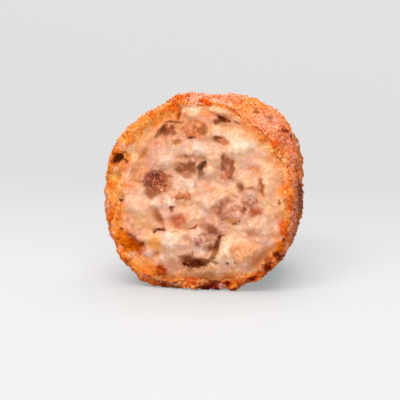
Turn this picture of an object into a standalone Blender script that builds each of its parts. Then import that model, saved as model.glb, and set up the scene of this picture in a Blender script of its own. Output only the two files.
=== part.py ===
"""Half of an oxtail croquette, cut across and lying on its side.

A breadcrumb crust wraps the oval body and closes round one end. The creamy filling shows at the
cut, with pieces of oxtail held in it. +X is to the right of the cut face, +Y runs from the cut
face to the closed end, +Z is up, and the origin is on the flat side that the croquette rests on,
under its centre of mass.
"""

import math
from collections import namedtuple

import bmesh
import bpy
from mathutils import Matrix, Vector, noise

MM = 0.001

# Driving dimensions of the half croquette
RADIUS = 15.7 * MM  # mean radius of the cross-section at the cut
LENGTH = 27.0 * MM  # cut face to closed end
BLUNTNESS = 2.2  # of the closed end: 2 is an ellipsoid, more is blunter
FLATTENING = 1.3  # added to the bluntness on the side it rests on
FLAT_ANGLE = 270.0
FLAT_SPREAD = 55.0
FRONT_LENGTH = 8.0 * MM  # what the knife takes off in front of the cut
FRONT_SHARE = 0.25  # share of each round mesh's faces that goes with it
AXIS_HEIGHT = 14.9 * MM  # axis above the floor, a little less than the radius there
FACE_Y = -10.0 * MM  # place of the cut face

# The cross-section is a slightly squared circle: lobes, share of the radius, and angle of a lobe
Wave = namedtuple("Wave", "lobes share angle")
SECTION_WAVES = [Wave(2, 0.018, 56.0), Wave(3, 0.007, -37.0), Wave(4, 0.030, 47.5)]

# The edge of the cut is worn round at the upper right
WORN = 2.0 * MM
WORN_ANGLE = 48.0
WORN_SPREAD = 30.0
WORN_LENGTH = 6.0 * MM

# The crust is thin at the top right, and thick at the upper left and the lower left
CRUST = 1.9 * MM
Band = namedtuple("Band", "angle spread extra")
CRUST_BANDS = [
    Band(62.0, 40.0, -0.6 * MM),
    Band(140.0, 28.0, 1.1 * MM),
    Band(180.0, 22.0, 0.6 * MM),
    Band(240.0, 18.0, 0.7 * MM),
]
GAP = 0.3 * MM  # clearance between touching pieces

# Crumb relief on the outside
LUMP_SIZE = 4.6 * MM
LUMP_HEIGHT = 0.45 * MM
CRAG_SIZE = 1.5 * MM
CRAG_HEIGHT = 0.40 * MM
SETTLE_HEIGHT = 1.4 * MM  # relief fades to nothing this low, so that the base is flat

# The underside sags a little into a flat spot, and the crumbs round the spot stay clear of the
# floor. The corners are millimetres in X and Y, anticlockwise as seen from above.
SAG = 0.3 * MM
SAG_REACH = 3.0 * MM  # height at which nothing sags any more
REST_CORNERS = [(-4.8, -9.0), (3.8, -9.0), (3.2, 3.4), (-3.8, 3.4)]
REST_RISE = 0.08  # slope of the underside outside the flat spot

# The knife block that leaves the torn edge of the crust
TEAR_SIZE = 2.3 * MM
TEAR_HEIGHT = 0.65 * MM
TEAR_CELLS = 24

# At the upper left the crust stands out as a flap, with a steep end near the top
FLAP_LIFT = 0.7 * MM
FLAP_ANGLE = 137.0
FLAP_SPREAD = 31.0

# The knife block that leaves the cut filling
FACE_CROWN = 0.9 * MM
FACE_WAVE_SIZE = 3.6 * MM
FACE_WAVE = 0.60 * MM
FACE_GRAIN_SIZE = 1.5 * MM
FACE_GRAIN = 0.40 * MM
RIM_DROP = 0.25 * MM
FACE_CELLS = 25

BLOCK_WIDTH = 36.0 * MM
BLOCK_FRONT = 14.0 * MM  # how far in front of the cut a knife block reaches

CRUMB_COLOUR = (0.80, 0.30, 0.09, 1.0)
CREAM_COLOUR = (0.88, 0.56, 0.36, 1.0)
MEAT_COLOUR = (0.42, 0.16, 0.08, 1.0)
DARK_MEAT_COLOUR = (0.22, 0.07, 0.035, 1.0)

# Icosphere subdivisions: each step is four times the faces
SKIN_STEPS = 5
INNER_STEPS = 4
LARGE_STEPS = 3
SMALL_STEPS = 2
LARGE_MORSEL = 4.35 * MM  # a morsel at least this wide or high gets the finer sphere
LUMP_SQUARENESS = 2.7  # 2 is an ellipsoid, more has steeper sides
LUMP_ROUGHNESS = 0.22
LUMP_ROUGH_SIZE = 0.53  # size of the dents, as a share of the lump

# Places on the cut face are millimetres right of and above the axis. sink is how far the middle
# lies behind the face there, and turn is in degrees, anticlockwise as seen from the front.
Lump = namedtuple("Lump", "name x z width height depth sink turn")

MORSELS = [
    Lump("meat_dark_left", -7.0, 2.3, 4.0, 3.4, 3.0, 0.9, 10),
    Lump("meat_top", -0.8, 10.8, 4.5, 3.4, 3.0, 1.0, 0),
    Lump("meat_top_left", -5.1, 10.2, 3.1, 1.9, 2.6, 0.9, 30),
    Lump("meat_upper_middle", -2.3, 4.4, 3.4, 2.5, 2.8, 1.0, -10),
    Lump("meat_upper_right", 4.4, 4.7, 2.2, 3.9, 2.8, 1.0, 8),
    Lump("meat_small_upper", 3.1, 9.2, 2.4, 1.3, 2.2, 0.8, -20),
    Lump("meat_right_low", 4.8, -2.3, 4.0, 3.5, 3.2, 0.9, 15),
    Lump("meat_right_high", 8.4, 0.1, 3.0, 4.5, 3.2, 1.0, -6),
    Lump("meat_flake_middle", -2.6, -0.1, 3.7, 1.5, 2.4, 0.8, -8),
    Lump("meat_low_middle", -3.4, -3.8, 2.9, 2.0, 2.4, 0.9, 15),
    Lump("meat_bottom", 0.4, -6.8, 4.9, 5.4, 3.6, 0.8, -8),
    Lump("meat_bottom_dark", -1.2, -10.8, 4.4, 1.5, 2.6, 1.2, -6),
    Lump("meat_slab", 7.1, -8.4, 4.4, 3.2, 2.8, 0.9, 22),
    Lump("meat_right_small", 8.4, -5.2, 2.0, 1.7, 2.2, 0.8, 0),
]
DARK_MORSELS = ("meat_dark_left", "meat_bottom_dark")

FILLING_HOLLOWS = [
    Lump("hollow_slit", 3.6, 12.6, 3.1, 1.0, 4.0, 0.2, -12),
    Lump("hollow_middle", 0.3, 4.6, 1.5, 2.6, 4.4, 0.2, 8),
    Lump("hollow_beside_bottom", 3.2, -7.0, 1.1, 4.2, 3.6, 0.0, -15),
    Lump("hollow_under_bottom", 0.8, -10.2, 3.5, 1.4, 3.2, 0.0, 4),
    Lump("hollow_left_low", -10.5, -7.7, 4.4, 2.3, 4.4, 0.0, -42),
    Lump("hollow_left_crack", -6.9, -5.7, 2.1, 0.9, 3.0, 0.0, 15),
    Lump("hollow_left_slot", -6.4, -3.6, 1.4, 2.6, 2.6, 0.0, 12),
]
CRUST_HOLLOWS = [
    Lump("hollow_burnt", -13.0, 5.6, 1.7, 1.9, 4.0, 0.0, 0),
]

# Swells and dips of the cut face: place, half-width, and lift towards the viewer, in millimetres
Swell = namedtuple("Swell", "x z spread lift")
SWELLS = [
    Swell(-4.8, 6.5, 2.2, 0.7),
    Swell(0.8, 7.5, 2.2, 0.6),
    Swell(6.3, 8.4, 2.4, 0.7),
    Swell(-9.4, 5.8, 1.4, -0.9),
    Swell(-8.6, -1.9, 2.2, 0.6),
    Swell(-4.5, -7.5, 2.6, 0.8),
    Swell(4.6, -8.8, 1.6, 0.8),
    Swell(0.9, -0.4, 2.4, 0.5),
    Swell(10.7, 4.5, 2.2, 0.4),
]


def bump(angle, centre_degrees, spread_degrees):
    """A smooth rise to 1 at an angle round the section, gone a few spreads away."""
    away = (math.degrees(angle) - centre_degrees + 180) % 360 - 180
    return math.exp(-((away / spread_degrees) ** 2))


def smooth_step(value):
    """0 below 0, 1 above 1, and smooth between."""
    value = min(1.0, max(0.0, value))
    return value * value * (3 - 2 * value)


def section_radius(angle, behind):
    """Radius of the body at an angle from +X, at a distance behind the cut."""
    waves = sum(w.share * math.cos(w.lobes * (angle - math.radians(w.angle))) for w in SECTION_WAVES)
    left = max(0.0, 1 - max(0.0, behind) / WORN_LENGTH)
    return RADIUS * (1 + waves) - WORN * bump(angle, WORN_ANGLE, WORN_SPREAD) * left**2


def crust_thickness(angle):
    """Thickness of the crust at an angle round the section."""
    return CRUST + sum(band.extra * bump(angle, band.angle, band.spread) for band in CRUST_BANDS)


def body_point(direction, inset):
    """The point of the body's surface that goes with a direction of a round mesh.

    inset is None for the outer skin, or else a clearance inside the crust's inner surface.
    """
    angle = math.atan2(direction.z, direction.x)
    side_inset = 0.0 if inset is None else crust_thickness(angle) + inset
    end_inset = 0.0 if inset is None else CRUST + inset
    station = (direction.y + 1) / 2 - FRONT_SHARE
    if station > 0:
        share = station / (1 - FRONT_SHARE)
        behind = share * (LENGTH - end_inset)
        bluntness = BLUNTNESS + FLATTENING * bump(angle, FLAT_ANGLE, FLAT_SPREAD)
        taper = max(0.0, 1 - share**bluntness) ** (1 / bluntness)
    else:
        share = -station / FRONT_SHARE
        behind = -share * FRONT_LENGTH
        taper = math.sqrt(max(0.0, 1 - share**2))
    radius = (section_radius(angle, behind) - side_inset) * taper
    across = Vector((math.cos(angle), 0.0, math.sin(angle))) * radius
    return across + Vector((0.0, FACE_Y + behind, AXIS_HEIGHT))


def crumb_relief(point):
    """How far the crumbs stand out at a point of the outside."""
    lumps = LUMP_HEIGHT * noise.noise(point / LUMP_SIZE)
    crags = CRAG_HEIGHT * noise.noise(point / CRAG_SIZE)
    return lumps + crags


def beside_rest(point):
    """How far a point lies outside the flat spot, or less than 0 inside it."""
    corners = [Vector(corner) * MM for corner in REST_CORNERS]
    sides = zip(corners, corners[1:] + corners[:1])
    return max((end - start).normalized().cross(start - point.xy) for start, end in sides)


def skin_point(direction):
    """The outer skin, with its crumbs, flattened where it rests."""
    point = body_point(direction, None)
    low = smooth_step(point.z / SETTLE_HEIGHT)
    point += direction * low * crumb_relief(point)
    point.z -= SAG * (1 - smooth_step(point.z / SAG_REACH))
    point.z = max(point.z, REST_RISE * max(0.0, beside_rest(point)))
    return point


def put_on_corners(mesh):
    """Moves the nearest vertex to each corner of the flat spot, so that it rests on four."""
    for corner in REST_CORNERS:
        place = Vector((*corner, 0.0)) * MM
        nearest = min(mesh.vertices, key=lambda vertex: (vertex.co - place).length)
        nearest.co = place


def cavity_point(direction):
    """The inside of the crust."""
    return body_point(direction, 0.0)


def filling_point(direction):
    """The filling's wall, a clearance inside the crust."""
    return body_point(direction, GAP)


def tear_depth(x, z):
    """How far the crust's torn edge lies behind the cut face's plane at a place on it."""
    away = (math.degrees(math.atan2(z, x)) - FLAP_ANGLE) / FLAP_SPREAD
    flap = FLAP_LIFT * smooth_step(4 - 4 * abs(away) ** 3)
    return TEAR_HEIGHT * noise.noise(Vector((x, 0.0, z)) / TEAR_SIZE) - flap


def face_depth(x, z):
    """How far the cut filling lies behind the face's plane at a place on it."""
    share = math.hypot(x, z) / (RADIUS - CRUST)
    lift = FACE_CROWN * (1 - share**2) - RIM_DROP * smooth_step(share * 6 - 5)
    for swell in SWELLS:
        away = math.hypot(x / MM - swell.x, z / MM - swell.z) / swell.spread
        lift += swell.lift * MM * math.exp(-(away**2))
    lift += FACE_WAVE * noise.noise(Vector((x, 0.0, z)) / FACE_WAVE_SIZE)
    lift += FACE_GRAIN * noise.noise(Vector((x, 0.01, z)) / FACE_GRAIN_SIZE)
    return -lift


def new_mesh(name, bm):
    """The finished mesh of a bmesh, with its faces pointing outwards."""
    bmesh.ops.recalc_face_normals(bm, faces=bm.faces)
    mesh = bpy.data.meshes.new(name)
    bm.to_mesh(mesh)
    bm.free()
    return mesh


def round_mesh(name, steps, place):
    """A sphere of even triangles, each vertex put where place says for its direction."""
    bm = bmesh.new()
    bmesh.ops.create_icosphere(bm, subdivisions=steps, radius=1.0)
    for vertex in bm.verts:
        vertex.co = place(vertex.co.normalized())
    return new_mesh(name, bm)


def knife_mesh(name, cells, depth):
    """A block in front of the croquette. Its back is the surface that the cut leaves."""
    bm = bmesh.new()
    turn = Matrix.Rotation(math.pi / 2, 4, "X")
    bmesh.ops.create_grid(
        bm, x_segments=cells, y_segments=cells, size=BLOCK_WIDTH / 2, matrix=turn
    )
    back = list(bm.verts)
    extruded = bmesh.ops.extrude_face_region(bm, geom=list(bm.faces))["geom"]
    for vertex in [v for v in extruded if isinstance(v, bmesh.types.BMVert)]:
        vertex.co.y = FACE_Y - BLOCK_FRONT
    for vertex in back:
        vertex.co.y = FACE_Y + depth(vertex.co.x, vertex.co.z)
    for vertex in bm.verts:
        vertex.co.z += AXIS_HEIGHT
    return new_mesh(name, bm)


def lump_mesh(lump, grow):
    """A rough ellipsoid for a piece of meat or a hollow, grown by a clearance all round."""
    half = Vector((lump.width, lump.depth, lump.height)) * MM / 2
    half += Vector((grow, grow, grow))
    seed = Vector((lump.x, lump.z, lump.turn))
    spin = Matrix.Rotation(-math.radians(lump.turn), 3, "Y")
    depth = face_depth(lump.x * MM, lump.z * MM) + lump.sink * MM
    middle = Vector((lump.x * MM, FACE_Y + depth, AXIS_HEIGHT + lump.z * MM))

    def place(direction):
        spread = sum(abs(part) ** LUMP_SQUARENESS for part in direction)
        rough = 1 + LUMP_ROUGHNESS * noise.noise(direction / LUMP_ROUGH_SIZE + seed)
        return middle + spin @ (direction * half * rough * spread ** (-1 / LUMP_SQUARENESS))

    large = max(lump.width, lump.height) * MM >= LARGE_MORSEL
    return round_mesh(lump.name, LARGE_STEPS if large else SMALL_STEPS, place)


def add_object(name, mesh, material, collection):
    """Puts a mesh in the scene as one named object with its material."""
    obj = bpy.data.objects.new(name, mesh)
    collection.objects.link(obj)
    mesh.materials.append(material)
    mesh.shade_smooth()
    mesh.set_sharp_from_angle(angle=math.radians(40))
    return obj


def make_material(name, colour, roughness):
    """A plain Principled material."""
    material = bpy.data.materials.new(name)
    material.use_nodes = True
    shader = material.node_tree.nodes["Principled BSDF"]
    shader.inputs["Base Color"].default_value = colour
    shader.inputs["Roughness"].default_value = roughness
    shader.inputs["Metallic"].default_value = 0.0
    return material


def cut_with(obj, meshes, material):
    """Takes solids out of an object. The cutters stay in a collection of their own, hidden."""
    cutters = bpy.data.collections.new(obj.name + "_cutters")
    bpy.context.scene.collection.children.link(cutters)
    for mesh in meshes:
        cutter = add_object("cut_" + mesh.name, mesh, material, cutters)
        cutter.hide_render = True
        cutter.display_type = "WIRE"
    boolean = obj.modifiers.new("Cuts", "BOOLEAN")
    boolean.operation = "DIFFERENCE"
    boolean.solver = "EXACT"
    boolean.operand_type = "COLLECTION"
    boolean.collection = cutters


def make_crust(material, collection):
    """The breadcrumb shell, open at the cut."""
    skin = round_mesh("skin", SKIN_STEPS, skin_point)
    put_on_corners(skin)
    crust = add_object("crust", skin, material, collection)
    cuts = [
        round_mesh("cavity", INNER_STEPS, cavity_point),
        knife_mesh("crust_knife", TEAR_CELLS, tear_depth),
    ]
    cuts += [lump_mesh(hollow, 0.0) for hollow in CRUST_HOLLOWS]
    cut_with(crust, cuts, material)


def make_filling(material, collection):
    """The creamy filling, with a pocket for each piece of oxtail and the hollows between."""
    wall = round_mesh("filling", INNER_STEPS, filling_point)
    filling = add_object("filling", wall, material, collection)
    cuts = [knife_mesh("face_knife", FACE_CELLS, face_depth)]
    cuts += [lump_mesh(morsel, GAP) for morsel in MORSELS]
    cuts += [lump_mesh(hollow, 0.0) for hollow in FILLING_HOLLOWS]
    cut_with(filling, cuts, material)


def make_morsels(material, dark_material, collection):
    """The pieces of oxtail that show at the cut, each its own solid."""
    for morsel in MORSELS:
        finish = dark_material if morsel.name in DARK_MORSELS else material
        add_object(morsel.name, lump_mesh(morsel, 0.0), finish, collection)


def main():
    """Builds the half croquette."""
    for obj in list(bpy.data.objects):
        bpy.data.objects.remove(obj)
    croquette = bpy.data.collections.new("oxtail_croquette")
    bpy.context.scene.collection.children.link(croquette)
    crumb = make_material("fried_breadcrumb", CRUMB_COLOUR, 0.75)
    cream = make_material("creamy_filling", CREAM_COLOUR, 0.40)
    meat = make_material("braised_oxtail", MEAT_COLOUR, 0.55)
    dark_meat = make_material("dark_oxtail", DARK_MEAT_COLOUR, 0.60)
    make_crust(crumb, croquette)
    make_filling(cream, croquette)
    make_morsels(meat, dark_meat, croquette)


main()
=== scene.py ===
"""The looks of half an oxtail croquette, lying on its side with its cut face to the viewer.

The fried crust, the creamy filling and each piece of oxtail are rebuilt here as fine meshes over
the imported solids, in the same frame: +X right of the cut, +Y towards the closed end, +Z up.
"""

import logging
import math
from dataclasses import dataclass, field
from enum import Enum
from typing import Callable, Iterable

import bmesh
import bpy
import numpy as np
from mathutils import Matrix, Vector, noise


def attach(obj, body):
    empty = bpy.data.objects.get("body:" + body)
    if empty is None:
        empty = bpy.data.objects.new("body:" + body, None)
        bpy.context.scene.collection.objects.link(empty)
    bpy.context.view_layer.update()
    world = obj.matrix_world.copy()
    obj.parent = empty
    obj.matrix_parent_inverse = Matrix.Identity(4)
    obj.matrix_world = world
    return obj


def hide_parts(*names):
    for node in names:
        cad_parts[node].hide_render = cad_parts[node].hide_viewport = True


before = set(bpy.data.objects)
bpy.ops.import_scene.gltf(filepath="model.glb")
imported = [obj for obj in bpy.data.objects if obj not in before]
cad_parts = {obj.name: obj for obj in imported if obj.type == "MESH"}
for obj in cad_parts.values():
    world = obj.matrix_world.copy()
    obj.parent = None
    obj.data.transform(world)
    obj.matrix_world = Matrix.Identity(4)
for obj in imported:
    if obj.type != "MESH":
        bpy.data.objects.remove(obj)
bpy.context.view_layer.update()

LOG = logging.getLogger("croquette")
MM = 0.001
BODY = "root"
TINT = "tint"
COVER = "crumb_cover"
CLUMP_COVER = "clump_cover"
TONE = "tone"

Colour = tuple[float, float, float]


def paint(red: int, green: int, blue: int) -> Colour:
    """Turns a colour as a screen shows it into linear light.

    Args:
        red: Red, 0 to 255.
        green: Green, 0 to 255.
        blue: Blue, 0 to 255.

    Returns:
        The linear colour.
    """

    def linear(value: float) -> float:
        """One channel, from screen to light."""
        return value / 12.92 if value <= 0.04045 else ((value + 0.055) / 1.055) ** 2.4

    return linear(red / 255), linear(green / 255), linear(blue / 255)


def smooth(value: np.ndarray) -> np.ndarray:
    """0 below 0, 1 above 1 and smooth between."""
    value = np.clip(value, 0.0, 1.0)
    return value * value * (3 - 2 * value)


def bump(angle: np.ndarray, centre: float, spread: float) -> np.ndarray:
    """A smooth rise to 1 at an angle round the section; centre and half-width are in degrees."""
    away = (np.degrees(angle) - centre + 180) % 360 - 180
    return np.exp(-((away / spread) ** 2))


def roughness_at(points: np.ndarray, size: float, shift: float = 0.0) -> np.ndarray:
    """Soft random relief, about -0.7 to 0.7, in bumps of a given size in metres."""
    return np.array([noise.noise(place) for place in (points / size + shift).tolist()])


def layered(points: np.ndarray, layers: Iterable[tuple[float, float]]) -> np.ndarray:
    """Soft random relief in layers, each given by its height and the size of its bumps."""
    return sum(height * roughness_at(points, size) for height, size in layers)


def nodules_at(
    points: np.ndarray, size: float, sharp: float = 2.2
) -> tuple[np.ndarray, np.ndarray]:
    """Packed lumps with creases between them.

    Args:
        points: Places, one row each, in metres.
        size: Distance from lump to lump, in metres.
        sharp: Narrowness of the creases.

    Returns:
        The height at each place, 0 in a crease to 1 on a lump, and a random tone from 0 to 1 that
        is the same all over a lump.
    """
    heights = np.empty(len(points))
    tones = np.empty(len(points))
    for row, place in enumerate((points / size).tolist()):
        away, centres = noise.voronoi(place)
        heights[row] = away[1] - away[0]
        tones[row] = centres[0][0] * 12.9898 + centres[0][1] * 78.233 + centres[0][2] * 37.719
    tones = np.modf(np.abs(np.sin(tones) * 43.7585))[0]
    return smooth(heights * sharp), tones


def mixed(base: np.ndarray, colour: Colour, share: np.ndarray) -> np.ndarray:
    """Blends one colour into the colours of many places, by each place's share from 0 to 1."""
    share = np.clip(share, 0.0, 1.0)[:, None]
    return base * (1 - share) + np.array(colour) * share


def varied(base: np.ndarray, factor: Colour, share: np.ndarray) -> np.ndarray:
    """Multiplies the colours of many places by a factor, as far as each place's share says."""
    return base * (1 + (np.array(factor) - 1) * share[:, None])


def plain(colour: Colour, count: int) -> np.ndarray:
    """The same colour for so many places, one row each."""
    return np.tile(np.array(colour), (count, 1))


def speckled(
    base: np.ndarray,
    pattern: np.ndarray,
    dark: tuple[Colour, float | np.ndarray],
    bright: tuple[Colour, float | np.ndarray],
    steep: float = 3.0,
    start: float = 0.3,
) -> np.ndarray:
    """Darkens colours where a pattern is high and brightens them where it is low."""
    base = varied(base, dark[0], smooth(pattern * steep - start) * dark[1])
    return varied(base, bright[0], smooth(-pattern * steep - start) * bright[1])


def plane(x: np.ndarray, y: float, z: np.ndarray) -> np.ndarray:
    """Places with the same y, one row each."""
    return np.stack([x, np.full_like(x, y), z], axis=1)


def around(angle: np.ndarray) -> np.ndarray:
    """Directions straight away from the body's axis at angles from +X, in radians."""
    return plane(np.cos(angle), 0.0, np.sin(angle))


def oval(
    right: np.ndarray, above: np.ndarray, width: float, height: float, turn: float
) -> tuple[np.ndarray, np.ndarray]:
    """Distances along and across a turned oval, as shares of its half sizes.

    Args:
        right: How far each place lies to the right of the oval's middle.
        above: How far each place lies above its middle.
        width: The oval's width.
        height: Its height.
        turn: How far it is turned against the clock, in degrees.

    Returns:
        The shares along and across; each is 1 on the outline.
    """
    cos, sin = math.cos(math.radians(turn)), math.sin(math.radians(turn))
    along = (right * cos + above * sin) / (width / 2)
    return along, (above * cos - right * sin) / (height / 2)


@dataclass(frozen=True)
class Wave:
    """One wave of the cross-section's outline."""

    lobes: int
    share: float
    angle: float


@dataclass(frozen=True)
class Band:
    """A stretch round the section where something is more or less: thickness, dent or oil."""

    angle: float
    spread: float
    extra: float


@dataclass(frozen=True)
class Swell:
    """A rise of the cut face towards the viewer, or a dip. Millimetres."""

    x: float
    z: float
    spread: float
    lift: float


@dataclass(frozen=True)
class Lump:
    """A piece of meat, a hollow or a clump of crumbs on the cut. Millimetres and degrees.

    A piece of meat lies as deep as its sink; a hollow's sides are softer with a larger sink. A clump
    stands out by its depth, and the burnt hole, which has a depth below 0, goes in.
    """

    name: str
    x: float
    z: float
    width: float
    height: float
    depth: float
    sink: float
    turn: float

    def share(self, x: np.ndarray, z: np.ndarray) -> np.ndarray:
        """Distance of places from the lump's middle: 0 there and 1 on the outline."""
        right, above = x / MM - self.x, z / MM - self.z
        return np.hypot(*oval(right, above, self.width, self.height, self.turn))


@dataclass(frozen=True)
class Spot:
    """An oval on the photograph: its middle and size in pixels, its turn in degrees."""

    right: float
    down: float
    width: float
    height: float
    turn: float

    def away(self, right: np.ndarray, down: np.ndarray) -> tuple[np.ndarray, np.ndarray]:
        """Distances of pixels from the oval's middle, along and across it; each is 1 on the outline."""
        return oval(right - self.right, self.down - down, self.width, self.height, self.turn)


@dataclass(frozen=True)
class Mark(Spot):
    """A patch of colour seen in the photograph, given as a screen shows it."""

    red: int
    green: int
    blue: int
    strength: float = 0.85
    softness: float = 0.5

    @property
    def colour(self) -> Colour:
        """The mark's colour in linear light."""
        return paint(self.red, self.green, self.blue)

    def share(self, right: np.ndarray, down: np.ndarray) -> np.ndarray:
        """How much of the mark's colour each pixel takes, up to its strength."""
        away = np.hypot(*self.away(right, down))
        return self.strength * (1 - smooth((away - 1 + self.softness) / (2 * self.softness)))


@dataclass(frozen=True)
class Fold(Spot):
    """A rise or dip of the filling. Its lift is in millimetres."""

    lift: float
    edge: float = 1.0

    def rise(self, right: np.ndarray, down: np.ndarray) -> np.ndarray:
        """How far the fold stands out at each pixel, in metres."""
        away = np.hypot(*self.away(right, down))
        return self.lift * MM * smooth((1 - away) / self.edge)


@dataclass(frozen=True)
class Ledge(Spot):
    """A torn step: steep along its line, fading away behind it on the side it is turned to."""

    lift: float
    steep: float = 1.6

    def rise(self, right: np.ndarray, down: np.ndarray) -> np.ndarray:
        """How far the ledge stands out.

        Args:
            right: Pixels from the photograph's left side.
            down: Pixels from its top.

        Returns:
            The rise at each place, in metres.
        """
        along, across = self.away(right, down)
        behind = across * self.height / 2
        ends = smooth((1 - np.abs(along)) / 0.35)
        step = smooth(behind / self.steep + 0.5) * (1 - smooth(behind / self.height))
        return self.lift * MM * ends * step


class Crumb(Enum):
    """The kinds of breadcrumb grain, each one piece."""

    GOLDEN = "crumbs_golden"
    PALE = "crumbs_pale"
    TOASTED = "crumbs_toasted"
    DARK = "crumbs_dark"
    CLUMPED = "crumbs_clumped"


MORSELS = (
    Lump("meat_dark_left", -7.0, 2.3, 4.0, 3.4, 3.0, 0.9, 10),
    Lump("meat_top", -0.8, 10.8, 4.5, 3.4, 3.0, 1.0, 0),
    Lump("meat_top_left", -5.1, 10.2, 3.1, 1.9, 2.6, 0.9, 30),
    Lump("meat_upper_middle", -2.3, 4.4, 3.4, 2.5, 2.8, 1.0, -10),
    Lump("meat_upper_right", 4.4, 4.7, 2.2, 3.9, 2.8, 1.0, 8),
    Lump("meat_small_upper", 3.1, 9.2, 2.4, 1.3, 2.2, 0.8, -20),
    Lump("meat_right_low", 4.8, -2.3, 4.0, 3.5, 3.2, 0.9, 15),
    Lump("meat_right_high", 8.4, 0.1, 3.0, 4.5, 3.2, 1.0, -6),
    Lump("meat_flake_middle", -2.6, -0.1, 3.7, 1.5, 2.4, 0.8, -8),
    Lump("meat_low_middle", -3.4, -3.8, 2.9, 2.0, 2.4, 0.9, 15),
    Lump("meat_bottom", 0.4, -6.8, 4.9, 5.4, 3.6, 0.8, -8),
    Lump("meat_bottom_dark", -1.2, -10.8, 4.4, 1.5, 2.6, 1.2, -6),
    Lump("meat_slab", 7.1, -8.4, 4.4, 3.2, 2.8, 0.9, 22),
    Lump("meat_right_small", 8.4, -5.2, 2.0, 1.7, 2.2, 0.8, 0),
)

DARK_MEAT = ("meat_dark_left", "meat_bottom_dark")
KNOBBLY_MEAT = ("meat_right_low", "meat_right_high", "meat_bottom")

HOLLOWS = (
    Lump("slit", 3.6, 12.5, 2.6, 0.9, 0.7, 0.8, -16),
    Lump("middle", 0.3, 4.6, 1.5, 2.7, 0.6, 1.2, 8),
    Lump("beside_bottom", 3.0, -7.0, 0.9, 4.0, 1.0, 0.8, -15),
    Lump("under_bottom", 0.6, -10.3, 3.8, 1.4, 0.5, 1.0, 4),
    Lump("left_low", -10.5, -7.7, 4.4, 2.3, 0.9, 1.2, -42),
    Lump("left_crack", -6.9, -5.6, 1.9, 0.5, 0.4, 0.5, 10),
    Lump("left_slot", -6.5, -3.5, 1.2, 3.0, 0.35, 1.4, 20),
)
BURNT = Lump("burnt", -13.15, 5.6, 2.2, 1.7, -1.6, 0.0, 35)

FOLDS = (
    Fold(165, 158, 42, 26, 0, 0.8),
    Fold(191, 111, 32, 28, 0, 0.9, 0.9),
    Fold(218, 109, 34, 15, -14, 1.2, 0.8),
    Fold(198, 148, 42, 18, 0, 0.9),
    Fold(214, 153, 26, 18, -10, 0.6, 0.7),
    Fold(210, 170, 19, 12, 10, 0.6, 0.5),
    Fold(193.5, 158, 7, 13, 0, 0.5, 0.6),
    Fold(186, 169, 28, 22, 0, -1.1, 0.9),
    Fold(186, 186, 24, 22, 0, 0.6),
    Fold(192, 190, 20, 8, 105, 0.3, 0.6),
    Fold(172.5, 203, 7, 9, 35, 0.5, 0.5),
    Fold(160, 203, 24, 18, 0, 0.6),
    Fold(236, 148, 36, 26, -25, 0.7),
    Fold(227, 168, 32, 22, 86, -1.0, 0.9),
    Fold(241, 188, 16, 13, 80, -0.5, 0.9),
    Fold(232, 212, 26, 22, 10, 0.6, 0.8),
    Fold(250, 197, 18, 24, 0, 0.6, 0.8),
    Fold(219, 209, 12, 26, 0, -0.9, 0.9),
    Fold(138, 172, 36, 18, 72, -1.0, 0.9),
    Fold(137, 205, 32, 28, 0, 0.7),
    Fold(159, 218, 24, 11, -65, -0.6, 0.9),
    Fold(170, 241, 40, 24, 0, 0.6),
    Fold(203, 234, 36, 30, 0, 0.6, 0.9),
    Fold(228, 249, 34, 20, 54, 0.6, 0.9),
    Fold(196, 263, 40, 14, 0, -0.9, 0.9),
    Fold(245, 251, 28, 24, 15, 0.6, 0.5),
    Fold(257, 261, 30, 12, 35, -0.8),
    Fold(262, 225, 36, 28, 0, 0.7),
    Fold(270, 185, 16, 56, 4, 0.5, 0.9),
    Fold(148, 252, 11, 13, 0, 0.6, 0.8),
    Fold(155.5, 254, 9, 10, 0, -0.6, 0.9),
    Fold(161, 133, 24, 16, 50, -0.8, 0.9),
    Fold(178, 141, 18, 9, 5, -0.6),
    Fold(222, 123, 34, 12, -15, -0.6),
    Fold(143, 154, 30, 8, 50, -0.4, 0.9),
    Fold(220, 140, 24, 12, -15, -0.7, 0.9),
    Fold(186, 157, 22, 9, 0, -0.6),
    Fold(179, 220, 24, 18, 15, -0.5, 0.9),
    Fold(228, 276, 28, 10, 0, -0.6),
    Fold(253, 233, 18, 15, 0, -0.4, 0.9),
    Fold(205, 200, 26, 20, 0, 0.5),
    Fold(150, 240, 16, 20, 0, 0.4),
    Fold(203, 210, 20, 12, 0, -0.4),
)

LEDGES = (
    Ledge(171, 121, 22, 16, 7, 0.35),
    Ledge(160, 131, 22, 10, 57, 0.25, 3.0),
    Ledge(171, 231.5, 38, 18, 187, 0.5, 2.0),
    Ledge(194, 227, 15, 14, 203, 0.4, 2.0),
    Ledge(135, 241, 18, 9, -20, 0.4, 2.0),
    Ledge(131, 169, 22, 9, 69, 0.3, 3.0),
    Ledge(263, 187, 30, 18, -90, 0.3, 3.0),
    Ledge(216, 258, 12, 8, -36, 0.3, 2.0),
)

SWELLS = (
    Swell(-4.8, 6.5, 2.2, 0.7),
    Swell(0.8, 7.5, 2.2, 0.6),
    Swell(6.3, 8.4, 2.4, 0.7),
    Swell(-9.4, 5.8, 1.4, -0.9),
    Swell(-8.6, -1.9, 2.2, 0.6),
    Swell(-4.5, -7.5, 2.6, 0.8),
    Swell(4.6, -8.8, 1.6, 0.8),
    Swell(0.9, -0.4, 2.4, 0.5),
    Swell(10.7, 4.5, 2.2, 0.4),
)


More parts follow.
